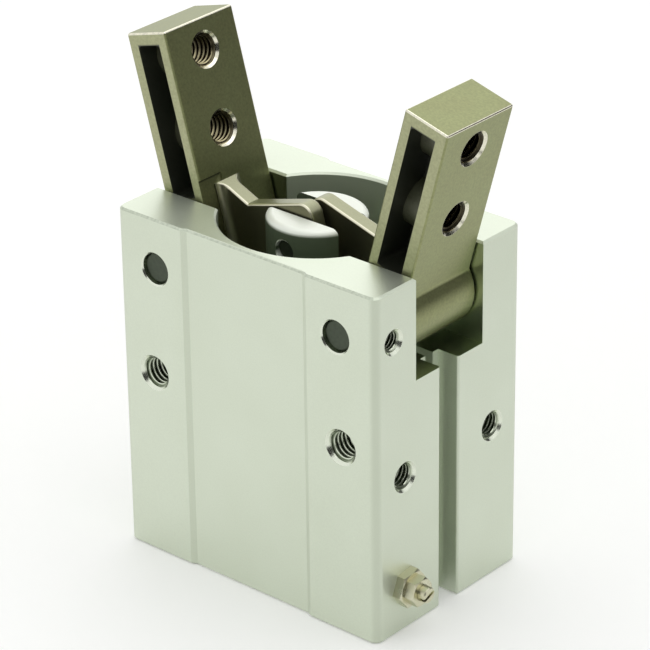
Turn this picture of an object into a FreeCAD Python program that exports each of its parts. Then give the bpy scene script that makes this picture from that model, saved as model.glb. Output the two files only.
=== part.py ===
import FreeCAD, Part
import os
import re

import Sketcher

# Pneumatic angular gripper. Millimetres, +Z up, origin at the centre of the body's bottom face.
# The two fingers stand side by side along X and the front of the body faces -Y.
# Everything is drawn with the fingers wide open and the piston at the top of its stroke.

# Driving sizes: name, value, what it measures.
SIZES = [
    ("body_width", 60, "body across the two fingers, X"),
    ("body_depth", 40, "body from front to back, Y"),
    ("body_height", 68, "body, Z"),
    ("corner_round", 1.7, "round on the body's upright corners"),
    ("edge_break", 0.4, "chamfer round the body's top and bottom"),
    ("band_half_width", 13.4, "half of the sunk band on front and back"),
    ("band_depth", 0.5, "depth of that band"),
    ("band_slope", 1.1, "width of the sloped side of that band"),
    ("groove_mouth", 5, "sensor groove, width at the mouth"),
    ("groove_depth", 4.6, "sensor groove, depth of the wide part"),
    ("groove_slit", 2, "sensor groove, width of the inner slit"),
    ("slit_depth", 9, "sensor groove, depth of the inner slit from the face"),
    ("groove_lip_round", 0.5, "round on the groove's lips"),
    ("finger_slot_width", 18.4, "slot along X that the fingers swing in"),
    ("finger_slot_floor", 48.5, "height of that slot's floor"),
    ("seat_diameter", 35.8, "round opening at the top, and seats of both covers"),
    ("opening_chamfer", 0.4, "chamfer on the rims of the round opening and the slot"),
    ("bore_diameter", 32, "piston bore"),
    ("pivot_offset", 21, "finger pivot from the centre plane, X"),
    ("pivot_height", 58.2, "finger pivot, Z"),
    ("pivot_pin_diameter", 6, "pivot pin hole in the body"),
    ("pin_recess", 0.8, "pivot pin ends below the body's faces"),
    ("pin_hole_chamfer", 0.25, "chamfer of the pivot pin holes"),
    ("open_angle", 15.4, "each finger's lean when open, degrees"),
    ("close_angle", 5, "each finger's lean past upright when closed, degrees"),
    ("side_tap_offset", 22, "front and back tapped holes from the centre plane, X"),
    ("side_tap_height", 37.2, "front and back tapped holes, Z"),
    ("side_tap_diameter", 6, "front and back tapped holes, thread size"),
    ("side_tap_depth", 11, "front and back tapped holes, depth"),
    ("base_tap_x", 17, "bottom tapped holes from the centre, X"),
    ("base_tap_y", 15.5, "bottom tapped holes from the centre, Y"),
    ("base_tap_diameter", 5, "bottom tapped holes, thread size"),
    ("base_tap_depth", 9, "bottom tapped holes, depth"),
    ("tap_chamfer", 0.45, "mouth chamfer of every tapped hole"),
    ("drill_point", 0.6, "depth of a drilled hole's point over its radius"),
    ("set_screw_y", 15.2, "pin set screws in front of the centre, -Y"),
    ("set_screw_diameter", 4, "pin set screw hole, thread size"),
    ("set_screw_length", 3, "pin set screw"),
    ("set_screw_hex", 2, "pin set screw socket across flats"),
    ("port_y", 12.2, "air ports from the centre, Y"),
    ("port_height", 30.8, "air ports, Z"),
    ("port_diameter", 5, "air ports, thread size"),
    ("port_depth", 7, "air ports, depth"),
    ("duct_diameter", 2.4, "drilled air ways"),
    ("lower_way_y", 10.9, "air way from the needle's hole to the lower chamber, in front of the centre, -Y"),
    ("duct_wall", 0.3, "upright air way from the end of the needle's hole"),
    ("plug_diameter", 4, "ball that closes the upright air way"),
    ("plug_recess", 0.3, "that ball above the bottom face"),
    ("needle_y", 12, "throttle needle in front of the centre, -Y"),
    ("needle_height", 8.8, "throttle needle, Z"),
    ("needle_bore_diameter", 5, "hole for the needle bushing, thread size"),
    ("needle_bore_depth", 8, "that hole, depth"),
    ("bushing_hex", 6.5, "needle bushing across flats"),
    ("bushing_head", 1.8, "needle bushing, height of its hexagon"),
    ("bushing_length", 5, "needle bushing inside the body"),
    ("lock_nut_hex", 5, "needle lock nut across flats"),
    ("lock_nut_height", 2, "needle lock nut"),
    ("hex_bevel", 0.3, "bevel on the corners of both hexagons"),
    ("needle_diameter", 3, "needle stem, thread size"),
    ("needle_reach", 1.6, "needle stem past its lock nut"),
    ("needle_collar", 3.6, "needle collar in the bushing, diameter"),
    ("collar_length", 3, "needle collar"),
    ("needle_tip_diameter", 1.6, "needle point, diameter at its root"),
    ("needle_tip_length", 3.4, "needle point past its collar"),
    ("screw_slot", 0.6, "screwdriver slot in the needle, width"),
    ("screw_slot_depth", 1.2, "that slot, depth"),
    ("needle_turn", 112, "how far the needle is turned about its axis, degrees"),
    ("bushing_turn", -22, "how far the bushing's hexagon is turned, degrees"),
    ("lock_nut_turn", -22, "how far the lock nut is turned, degrees"),
    ("ring_lip", 0.4, "body left below the lower retaining ring"),
    ("ring_thickness", 1.2, "retaining rings"),
    ("ring_groove_depth", 0.9, "retaining ring grooves"),
    ("ring_width", 2.4, "retaining rings, radial width"),
    ("ring_gap", 10, "retaining rings, distance between the two eyes"),
    ("ring_eye", 4.4, "retaining rings, eye diameter"),
    ("ring_eye_hole", 1.8, "retaining rings, hole in each eye"),
    ("cap_thickness", 4.6, "end cap"),
    ("cover_thickness", 11.8, "rod cover"),
    ("o_ring_groove_depth", 2, "O-ring grooves of the end cap and rod cover"),
    ("o_ring_groove_width", 2.6, "width of those grooves"),
    ("lower_bumper_thickness", 2.8, "bumper on the end cap"),
    ("upper_bumper_thickness", 3.2, "bumper under the rod cover"),
    ("bumper_diameter", 24, "both bumpers"),
    ("bumper_gap", 0.2, "air left between piston and bumper at either end"),
    ("piston_thickness", 12, "piston"),
    ("rod_diameter", 12, "piston rod"),
    ("spigot_diameter", 8, "rod end in the piston"),
    ("piston_screw_diameter", 5, "piston screw, thread size"),
    ("piston_screw_head", 10, "piston screw head diameter"),
    ("piston_screw_head_height", 4, "piston screw head"),
    ("piston_screw_hex", 4, "piston screw socket across flats"),
    ("piston_screw_length", 18, "piston screw under its head"),
    ("seal_groove_depth", 3, "piston seal groove"),
    ("seal_width", 2.8, "piston seal"),
    ("wear_ring_width", 2.5, "piston wear ring"),
    ("wear_ring_depth", 1, "piston wear ring groove"),
    ("magnet_width", 2, "piston magnet"),
    ("magnet_depth", 3, "piston magnet groove"),
    ("piston_land", 0.9, "piston between a groove and its face"),
    ("rod_seal_diameter", 18, "rod seal"),
    ("rod_seal_height", 3.6, "rod seal"),
    ("rod_seal_gland", 4, "depth of the rod seal's seat"),
    ("bush_shoulder", 0.5, "rod cover between rod seal and bush"),
    ("rod_bush_wall", 1, "rod bush"),
    ("head_diameter", 18.4, "slotted head of the rod"),
    ("head_above_pin", 4.7, "head top above the cross pin"),
    ("head_slot_width", 8, "slot in the head"),
    ("head_slot_below_pin", 8, "slot bottom below the cross pin"),
    ("head_base", 4, "head under its slot"),
    ("head_round", 1.3, "round on the head's top edge"),
    ("cross_pin_diameter", 4, "cross pin through the head"),
    ("cross_pin_recess", 0.9, "cross pin ends below the head's side"),
    ("cross_pin_chamfer", 0.35, "chamfer of the cross pin's hole"),
    ("finger_width", 17.7, "finger, Y"),
    ("finger_inner", 4.5, "finger's inner face from the pivot"),
    ("finger_outer", 5, "finger's outer face from the pivot"),
    ("finger_length", 40.3, "finger's top from the pivot"),
    ("hub_radius", 7.6, "finger hub round the pivot"),
    ("hub_fillet", 1.4, "hollow between hub and finger"),
    ("finger_edge_round", 0.4, "round on the finger's edges"),
    ("pocket_outer", 2.8, "side pocket from the pivot line, outwards"),
    ("pocket_inner", 2.5, "side pocket from the pivot line, inwards"),
    ("pocket_top", 37.9, "side pocket's upper end"),
    ("pocket_bottom", 9.6, "side pocket's lower end"),
    ("pocket_round", 0.8, "round in the side pocket's corners"),
    ("pocket_web", 2.4, "wall left between the two side pockets"),
    ("finger_tap_low", 20, "lower tapped hole from the pivot"),
    ("finger_tap_high", 34.5, "upper tapped hole from the pivot"),
    ("finger_tap_diameter", 6, "finger tapped holes, thread size"),
    ("finger_boss_diameter", 10, "boss round each tapped hole in the pockets"),
    ("arm_thickness", 3.2, "finger arm, Y"),
    ("arm_middle_gap", 0.8, "between the two arms, Y"),
    ("arm_flare", 11.1, "arm's top where it leaves the finger"),
    ("arm_kink_out", 9.8, "arm's bend from the pivot, along the arm"),
    ("arm_kink_up", 6.75, "arm's bend from the pivot, upwards"),
    ("arm_top", 7, "arm's top edge at its end"),
    ("arm_low", 4.5, "arm's lower edge below the pivot"),
    ("arm_tail", 3.2, "arm past the cross pin"),
    ("arm_end_round", 2.5, "round on the arm's end corners"),
    ("arm_kink_round", 0.4, "round in the arm's bend"),
    ("arm_root_fillet", 1.5, "fillet on both sides where the arm leaves the finger"),
    ("arm_edge_round", 0.45, "round on the arm's top edges"),
    ("arm_foot", 0.6, "arm's foot, let into the finger's inner face"),
    ("arm_foot_wing", 1.6, "that foot past each side of the arm"),
    ("relief_depth", 0.25, "shallow step in the inner face beside the arm"),
    ("relief_top", 12.7, "upper end of that step"),
    ("relief_inner", 3.1, "that step's side above the arm from the centre, Y"),
    ("bush_wall", 0.5, "pivot bushes"),
    ("bush_length", 6, "pivot bushes"),
    ("seat_gap", 0.02, "fit of still pieces, per side"),
    ("running_gap", 0.05, "fit of turning and sliding pieces, per side"),
    ("slot_gap", 0.15, "arm slot round the cross pin, per side"),
]

# Sizes worked out from the driving ones.
WORKED_OUT = {
    "half_width": "body_width / 2",
    "half_depth": "body_depth / 2",
    "seat_radius": "seat_diameter / 2",
    "bore_radius": "bore_diameter / 2",
    "stroke": "pivot_offset * (tan(open_angle) + tan(close_angle))",
    "cap_bottom": "ring_lip + ring_thickness",
    "cap_seat": "cap_bottom + cap_thickness",
    "piston_bottom": "cap_seat + lower_bumper_thickness + bumper_gap + stroke",
    "piston_top": "piston_bottom + piston_thickness",
    "cover_seat": "piston_top + bumper_gap + upper_bumper_thickness",
    "cover_top": "cover_seat + cover_thickness",
    "cross_pin_height": "pivot_height + pivot_offset * tan(open_angle)",
    "head_top": "cross_pin_height + head_above_pin",
    "head_slot_bottom": "cross_pin_height - head_slot_below_pin",
    "head_bottom": "head_slot_bottom - head_base",
    "duct_x": "half_width - needle_bore_depth + duct_diameter / 2 + duct_wall",
    "bushing_face": "half_width + bushing_head",
    "lock_nut_face": "bushing_face + lock_nut_height",
    "collar_radius": "needle_collar / 2",
    "cover_radius": "seat_radius - seat_gap",
    "o_ring_floor": "seat_radius - o_ring_groove_depth",
    "cap_groove": "cap_thickness / 2 - o_ring_groove_width / 2",
    "cover_groove": "cover_thickness / 2 - o_ring_groove_width / 2",
    "spigot_length": "piston_thickness - piston_screw_head_height - seat_gap",
    "piston_radius": "bore_radius - running_gap - seat_gap",
    "wear_ring_base": "piston_land",
    "magnet_base": "wear_ring_base + wear_ring_width + piston_land",
    "seal_base": "magnet_base + magnet_width + piston_land",
    "bush_radius": "pivot_pin_diameter / 2 - seat_gap + running_gap + bush_wall",
    "slot_near": "pivot_offset",
    "slot_far": "pivot_offset / cos(open_angle)",
    "slot_half": "cross_pin_diameter / 2 + slot_gap",
    "arm_end": "slot_far + arm_tail",
    "arm_far_side": "arm_middle_gap / 2 + arm_thickness",
    "arm_foot_back": "finger_inner - arm_foot",
    "arm_foot_front": "arm_far_side + arm_foot_wing",
}

# Yaw, pitch and roll that turn a piece drawn along +Z to face each way.
DIRECTIONS = {
    "up": (0, 0, 0),
    "right": (0, 90, 0),
    "left": (0, -90, 0),
    "back": (0, 0, -90),
    "front": (0, 0, 90),
}

doc = FreeCAD.newDocument("angular_gripper")
sheet = doc.addObject("Spreadsheet::Sheet", "sizes")
for row, (name, value, note) in enumerate(SIZES, start=1):
    sheet.set(f"A{row}", name)
    sheet.set(f"B{row}", str(value))
    sheet.setAlias(f"B{row}", name)
    sheet.set(f"C{row}", note)
doc.recompute()
CELLS = {name for name, value, note in SIZES}


def formula(text):
    """A size spelt in the sheet's cells: named values become cells, worked-out ones their sums."""
    def spell(match):
        name = match.group(0)
        if name in WORKED_OUT:
            return "(" + formula(WORKED_OUT[name]) + ")"
        return "sizes." + name if name in CELLS else name
    return re.sub(r"[a-z][a-z_]*", spell, str(text))


def bind(thing, **sizes):
    """Tie properties of an object to sizes."""
    for prop, text in sizes.items():
        thing.setExpression(prop, formula(text))


def place(thing, x=0, y=0, z=0, facing="up", turn=None):
    """Put an object somewhere, with its own +Z facing a side, or turned by yaw, pitch and roll."""
    yaw, pitch, roll = turn or DIRECTIONS[facing]
    spot = f"vector({x}; {y}; {z})"
    bind(thing, Placement=f"placement({spot}; rotation({yaw}; {pitch}; {roll}))")
    return thing


def new_body(name):
    return doc.addObject("PartDesign::Body", name)


def outline(body, name, plane, corners, offset=0):
    """A closed sketch on one of the body's own planes, each corner held by two sizes."""
    sketch = body.newObject("Sketcher::SketchObject", name)
    origin = [feature for feature in body.Origin.OriginFeatures if feature.Role == plane]
    sketch.AttachmentSupport = [(origin[0], "")]
    sketch.MapMode = "FlatFace"
    bind(sketch, **{"AttachmentOffset.Base.z": offset})
    count = len(corners)
    start = [FreeCAD.Vector(10 + index, 10 + index * index, 0) for index in range(count)]
    sketch.addGeometry([Part.LineSegment(start[i], start[(i + 1) % count]) for i in range(count)])
    rules = [Sketcher.Constraint("Coincident", i, 2, (i + 1) % count, 1) for i in range(count)]
    for i, point in enumerate(start):
        rules.append(Sketcher.Constraint("DistanceX", -1, 1, i, 1, point.x))
        rules.append(Sketcher.Constraint("DistanceY", -1, 1, i, 1, point.y))
    sketch.addConstraint(rules)
    for i, (across, along) in enumerate(corners):
        first = count + 2 * i
        bind(sketch, **{f"Constraints[{first}]": across, f"Constraints[{first + 1}]": along})
    return sketch


def turned(name, corners):
    """A round piece about Z, from the (radius, height) corners of half its section."""
    body = new_body(name)
    section = outline(body, name + "_section", "XZ_Plane", corners)
    turning = body.newObject("PartDesign::Revolution", name + "_turning")
    turning.Profile = section
    turning.ReferenceAxis = (section, ["V_Axis"])
    turning.Angle = 360
    return body


def pad(body, name, plane, corners, length, offset=0, symmetric=False, kind="Pad"):
    """A plate of one outline, grown to one side of its plane or to both, or a pocket of that shape."""
    plate = body.newObject("PartDesign::" + kind, name)
    plate.Profile = outline(body, name + "_outline", plane, corners, offset)
    plate.SideType = "Symmetric" if symmetric else "One side"
    bind(plate, Length=length)
    return plate


def primitive(body, kind, name, spot, facing="up", **sizes):
    """Add or cut a plain cylinder, cone or box in a body."""
    feature = body.newObject("PartDesign::" + kind, name)
    bind(feature, **sizes)
    return place(feature, *spot, facing=facing)


def edge_feature(body, kind, name, wanted, **sizes):
    """Round or bevel the edges of the body so far whose middle point passes a test."""
    doc.recompute()
    base = body.Tip
    picked = []
    for number, edge in enumerate(base.Shape.Edges, start=1):
        middle = edge.valueAt((edge.FirstParameter + edge.LastParameter) / 2)
        if wanted(edge, middle):
            picked.append(f"Edge{number}")
    feature = body.newObject("PartDesign::" + kind, name)
    feature.Base = (base, picked)
    bind(feature, **sizes)
    return feature


def near(value, target):
    return abs(value - target) < 1e-4


def size(name):
    return sheet.get(name)


def straight_along(edge, axis):
    """Whether an edge is a straight line along the given axis."""
    span = edge.Vertexes[-1].Point - edge.Vertexes[0].Point
    return edge.Length > 1e-3 and near(abs(span.dot(axis)), edge.Length)


def hexagon_bar(name, across, height):
    """A plain hexagon bar along Z, given its size across flats."""
    prism = doc.addObject("Part::Prism", name)
    prism.Polygon = 6
    bind(prism, Circumradius=f"({across}) / (2 * cos(30))", Height=height)
    return prism


def hexagon(name, across, height):
    """A hexagon along Z whose corners are turned off at its outer end."""
    corner = f"({across}) / (2 * cos(30)) + seat_gap"
    crown = turned(name + "_crown", [
        (0, 0), (corner, 0), (corner, f"{height} - hex_bevel"), (f"({across}) / 2", height), (0, height),
    ])
    shaped = doc.addObject("Part::Common", name)
    shaped.Base = hexagon_bar(name + "_bar", across, height)
    shaped.Tool = crown
    return shaped


def ring(name, inner, outer, height):
    """An O-ring that fills the room between two radii at one height."""
    torus = doc.addObject("Part::Torus", name)
    bind(torus, Radius1=f"(({inner}) + ({outer})) / 2", Radius2=f"(({outer}) - ({inner})) / 2 - seat_gap")
    return place(torus, z=height)


def fused(name, pieces):
    union = doc.addObject("Part::MultiFuse", name)
    union.Shapes = pieces
    return union


def cut(name, base, tools):
    """A piece less one tool, or less several joined ones."""
    difference = doc.addObject("Part::Cut", name)
    difference.Base = base
    difference.Tool = tools[0] if len(tools) == 1 else fused(name + "_cutters", tools)
    return difference


def group(name, pieces):
    several = doc.addObject("Part::Compound", name)
    several.Links = pieces
    return several


def drill(name, diameter, depth, point="drill_point"):
    """Cutter of a blind hole along Z, with a mouth chamfer and a drill point."""
    radius = f"({diameter}) / 2"
    return turned(name, [
        (0, 0), (f"{radius} + tap_chamfer", 0), (radius, "tap_chamfer"), (radius, depth),
        (0, f"{depth} + {radius} * {point}"),
    ])


def through_drill(name, radius, depth, chamfer):
    """Cutter of a through hole along Z with a chamfer at both mouths."""
    wide = f"{radius} + {chamfer}"
    return turned(name, [
        (0, 0), (wide, 0), (radius, chamfer), (radius, f"{depth} - {chamfer}"), (wide, depth), (0, depth),
    ])


def pin(name, radius, length, chamfer):
    """A plain dowel along Z with bevelled ends."""
    return turned(name, [
        (0, 0), (f"{radius} - {chamfer}", 0), (radius, chamfer), (radius, f"{length} - {chamfer}"),
        (f"{radius} - {chamfer}", length), (0, length),
    ])


def tube(name, inner, outer, length):
    return turned(name, [(inner, 0), (outer, 0), (outer, length), (inner, length)])


OVER = 1
UP = FreeCAD.Vector(0, 0, 1)
ACROSS = FreeCAD.Vector(0, 1, 0)


def extrusion():
    """The body's drawn bar: sunk bands front and back, a stepped sensor groove on each side."""
    bar = new_body("body_bar")
    band_edge = "band_half_width + band_slope"
    band_floor = "half_depth - band_depth"
    step = "half_width - groove_depth"
    slit = "half_width - slit_depth"
    quarter = [
        ("band_half_width", band_floor), (band_edge, "half_depth"), ("half_width", "half_depth"),
        ("half_width", "groove_mouth / 2"), (step, "groove_mouth / 2"), (step, "groove_slit / 2"),
        (slit, "groove_slit / 2"),
    ]
    right_back = quarter
    right_front = [(x, f"-({y})") for x, y in reversed(quarter)]
    left_front = [(f"-({x})", f"-({y})") for x, y in quarter]
    left_back = [(f"-({x})", y) for x, y in reversed(quarter)]
    corners = right_back + right_front + left_front + left_back
    pad(bar, "body_length", "XY_Plane", corners, "body_height")
    half_width = size("body_width") / 2
    half_depth = size("body_depth") / 2
    half_mouth = size("groove_mouth") / 2

    def side_edge(edge, middle, y):
        return straight_along(edge, UP) and near(abs(middle.x), half_width) and near(abs(middle.y), y)

    def corner_edge(edge, middle):
        return side_edge(edge, middle, half_depth)

    def lip_edge(edge, middle):
        return side_edge(edge, middle, half_mouth)

    def end_edge(edge, middle):
        at_end = near(middle.z, 0) or near(middle.z, size("body_height"))
        return at_end and abs(middle.y) > half_mouth - 1e-4

    edge_feature(bar, "Fillet", "body_corners", corner_edge, Radius="corner_round")
    edge_feature(bar, "Fillet", "groove_lips", lip_edge, Radius="groove_lip_round")
    edge_feature(bar, "Chamfer", "body_edges", end_edge, Size="edge_break")
    return bar


def bore_cutter():
    """Everything turned out of the body: both cover seats, their ring grooves and the piston bore."""
    groove = "seat_radius + ring_groove_depth"
    upper_groove_end = "cover_top + ring_thickness + 2 * seat_gap"
    return turned("bore_room", [
        (0, -OVER), ("seat_radius", -OVER), ("seat_radius", "ring_lip - seat_gap"),
        (groove, "ring_lip - seat_gap"), (groove, "cap_bottom + seat_gap"),
        ("seat_radius", "cap_bottom + seat_gap"), ("seat_radius", "cap_seat"), ("bore_radius", "cap_seat"),
        ("bore_radius", "cover_seat"), ("seat_radius", "cover_seat"), ("seat_radius", "cover_top"),
        (groove, "cover_top"), (groove, upper_groove_end), ("seat_radius", upper_groove_end),
        ("seat_radius", "body_height - opening_chamfer"),
        (f"seat_radius + opening_chamfer + {OVER}", f"body_height + {OVER}"), (0, f"body_height + {OVER}"),
    ])


def box(name, x, y, z, length, width, height):
    """A box with its low corner at x, y, z."""
    block = doc.addObject("Part::Box", name)
    bind(block, Length=length, Width=width, Height=height)
    return place(block, x, y, z)


def body():
    """Housing: a drawn bar, bored, slotted for the fingers and drilled for pins, screws and air."""
    tools = [bore_cutter()]
    slot = new_body("finger_slot")
    wall = "finger_slot_width / 2"
    rim = f"{wall} + opening_chamfer + {OVER}"
    pad(slot, "finger_slot_length", "YZ_Plane", [
        (wall, "finger_slot_floor"), (wall, "body_height - opening_chamfer"), (rim, f"body_height + {OVER}"),
        (f"-({rim})", f"body_height + {OVER}"), (f"-{wall}", "body_height - opening_chamfer"),
        (f"-{wall}", "finger_slot_floor"),
    ], f"body_width + {2 * OVER}", symmetric=True)
    tools.append(slot)
    for side, sign, inwards in (("left", "-", "right"), ("right", "", "left")):
        hole = through_drill(side + "_pin_hole", "pivot_pin_diameter / 2", "body_depth", "pin_hole_chamfer")
        tools.append(place(hole, f"{sign}pivot_offset", "-half_depth", "pivot_height", "back"))
        hole = drill(side + "_set_screw_hole", "set_screw_diameter", "half_width - pivot_offset", point=0)
        tools.append(place(hole, f"{sign}half_width", "-set_screw_y", "pivot_height", inwards))
        for face, depth_sign, drilling in (("front", "-", "back"), ("back", "", "front")):
            hole = drill(f"{side}_{face}_tap", "side_tap_diameter", "side_tap_depth")
            place(hole, f"{sign}side_tap_offset", f"{depth_sign}half_depth", "side_tap_height", drilling)
            tools.append(hole)
            hole = drill(f"{side}_{face}_base_tap", "base_tap_diameter", "base_tap_depth")
            tools.append(place(hole, f"{sign}base_tap_x", f"{depth_sign}base_tap_y"))
    for face, depth_sign in (("front", "-"), ("back", "")):
        hole = drill(face + "_port", "port_diameter", "port_depth")
        tools.append(place(hole, "half_width", f"{depth_sign}port_y", "port_height", "left"))
    return cut("body", extrusion(), tools + air_ways())


def air_ways():
    """Drilled ways: back port to the upper chamber, front port down to the needle and lower chamber."""
    radius = "duct_diameter / 2"
    upper_way = tube_cutter("upper_way", radius, "half_width - port_depth")
    place(upper_way, 0, "port_y", "port_height", "right")
    upright = turned("upright_way", [
        (0, 0), ("plug_diameter / 2", 0), ("plug_diameter / 2", "plug_recess + plug_diameter"),
        (radius, "plug_recess + plug_diameter"), (radius, "port_height"), (0, "port_height"),
    ])
    place(upright, "duct_x", "-port_y")
    needle_room = drill("needle_room", "needle_bore_diameter", "needle_bore_depth", point=0)
    place(needle_room, "half_width", "-needle_y", "needle_height", "left")
    lower_way = tube_cutter("lower_way", radius, f"half_width - needle_bore_depth + {OVER}")
    place(lower_way, 0, "-lower_way_y", "needle_height", "right")
    return [upper_way, upright, needle_room, lower_way]


def tube_cutter(name, radius, length):
    cylinder = doc.addObject("Part::Cylinder", name)
    bind(cylinder, Radius=radius, Height=length)
    return cylinder


def pivot_pin(side, sign):
    """Dowel that a finger swings on, let into both walls of the body."""
    radius = "(pivot_pin_diameter / 2 - seat_gap)"
    dowel = pin(side + "_pivot_pin", radius, "(body_depth - 2 * pin_recess)", "pin_recess / 2")
    return place(dowel, f"{sign}pivot_offset", "pin_recess - half_depth", "pivot_height", "back")


def set_screw(side, sign, outwards):
    """Grub screw that locks a pivot pin, with a hexagon socket at its outer end."""
    radius = "set_screw_diameter / 2 - seat_gap"
    blank = turned(side + "_set_screw_blank", [
        (0, 0), (f"{radius} - set_screw_length / 6", 0), (radius, "set_screw_length / 6"),
        (radius, "set_screw_length - tap_chamfer"), (f"{radius} - tap_chamfer", "set_screw_length"),
        (0, "set_screw_length"),
    ])
    socket = hexagon_bar(side + "_set_screw_socket", "set_screw_hex", f"set_screw_length / 2 + {OVER}")
    place(socket, z="set_screw_length / 2")
    screw = cut(side + "_set_screw", blank, [socket])
    tip = f"{sign}(pivot_offset + pivot_pin_diameter / 2)"
    return place(screw, tip, "-set_screw_y", "pivot_height", outwards)


def retaining_ring(name, height):
    """Inside circlip: an open ring in its groove, with an eye at each end."""
    outer = "seat_radius + ring_groove_depth - seat_gap"
    inner = f"{outer} - ring_width"
    eye_circle = "seat_radius - ring_eye / 2 - running_gap"
    hoop = tube(name + "_hoop", inner, outer, "ring_thickness")
    opening = box(name + "_opening", "-ring_gap / 2", f"-({outer}) - {OVER}", f"-{OVER}",
                  "ring_gap", f"seat_radius + {OVER}", f"ring_thickness + {2 * OVER}")
    open_hoop = cut(name + "_open_hoop", hoop, [opening])
    eyes = []
    holes = []
    for end, sign in (("left", "-"), ("right", "")):
        x = f"{sign}ring_gap / 2"
        y = f"-sqrt(({eye_circle}) ^ 2 - (ring_gap / 2) ^ 2)"
        eye = tube_cutter(f"{name}_{end}_eye", "ring_eye / 2", "ring_thickness")
        eyes.append(place(eye, x, y))
        hole = tube_cutter(f"{name}_{end}_eye_hole", "ring_eye_hole / 2", f"ring_thickness + {2 * OVER}")
        holes.append(place(hole, x, y, f"-{OVER}"))
    return place(cut(name, fused(name + "_blank", [open_hoop] + eyes), holes), z=height)


def grooved_disc(name, thickness, groove, inside):
    """A cover with an O-ring groove round its rim; inside gives the corners of its middle."""
    groove_end = f"{groove} + o_ring_groove_width"
    return turned(name, [
        ("cover_radius", 0), ("cover_radius", groove), ("o_ring_floor", groove),
        ("o_ring_floor", groove_end), ("cover_radius", groove_end), ("cover_radius", thickness),
    ] + inside)


def rod_guide():
    """Rod cover with its bush, rod seal, O-ring, retaining ring and the bumper under it."""
    rod = "rod_diameter / 2"
    free = f"{rod} + rod_bush_wall / 2"
    bush_outer = f"{rod} + running_gap + rod_bush_wall"
    bush_floor = "rod_seal_gland + bush_shoulder"
    seal_seat = "rod_seal_diameter / 2"
    cover = grooved_disc("rod_cover", "cover_thickness", "cover_groove", [
        (f"{bush_outer} + seat_gap", "cover_thickness"), (f"{bush_outer} + seat_gap", bush_floor),
        (free, bush_floor), (free, "rod_seal_gland"), (seal_seat, "rod_seal_gland"), (seal_seat, 0),
    ])
    place(cover, z="cover_seat")
    bush = tube("rod_bush", f"{rod} + running_gap", bush_outer, f"cover_thickness - ({bush_floor})")
    place(bush, z=f"cover_seat + {bush_floor}")
    seal_inner = f"{rod} + running_gap"
    seal_outer = f"{seal_seat} - seat_gap"
    lip = "rod_seal_height / 6"
    seal = turned("rod_seal", [
        (seal_inner, 0), (f"{seal_inner} + {lip}", 0),
        (f"({seal_inner} + {seal_outer}) / 2", "rod_seal_height / 2"), (f"{seal_outer} - {lip}", 0),
        (seal_outer, 0), (seal_outer, "rod_seal_height"), (seal_inner, "rod_seal_height"),
    ])
    place(seal, z="cover_seat + rod_seal_gland - rod_seal_height")
    o_ring = ring("cover_o_ring", "o_ring_floor", "seat_radius", "cover_seat + cover_thickness / 2")
    clip = retaining_ring("cover_retaining_ring", "cover_top + seat_gap")
    bumper = tube("upper_bumper", free, "bumper_diameter / 2", "upper_bumper_thickness")
    place(bumper, z="cover_seat - upper_bumper_thickness")
    return [cover, bush, seal, o_ring, clip, bumper]


def bottom_closure():
    """End cap with its O-ring and retaining ring, and the bumper that the piston lands on."""
    cap = grooved_disc("end_cap", "cap_thickness", "cap_groove", [(0, "cap_thickness"), (0, 0)])
    place(cap, z="cap_bottom")
    o_ring = ring("end_cap_o_ring", "o_ring_floor", "seat_radius", "cap_bottom + cap_thickness / 2")
    clip = retaining_ring("end_cap_retaining_ring", "ring_lip")
    bumper = tube("lower_bumper", "piston_screw_head / 2", "bumper_diameter / 2", "lower_bumper_thickness")
    place(bumper, z="cap_seat")
    return [cap, o_ring, clip, bumper]


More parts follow.
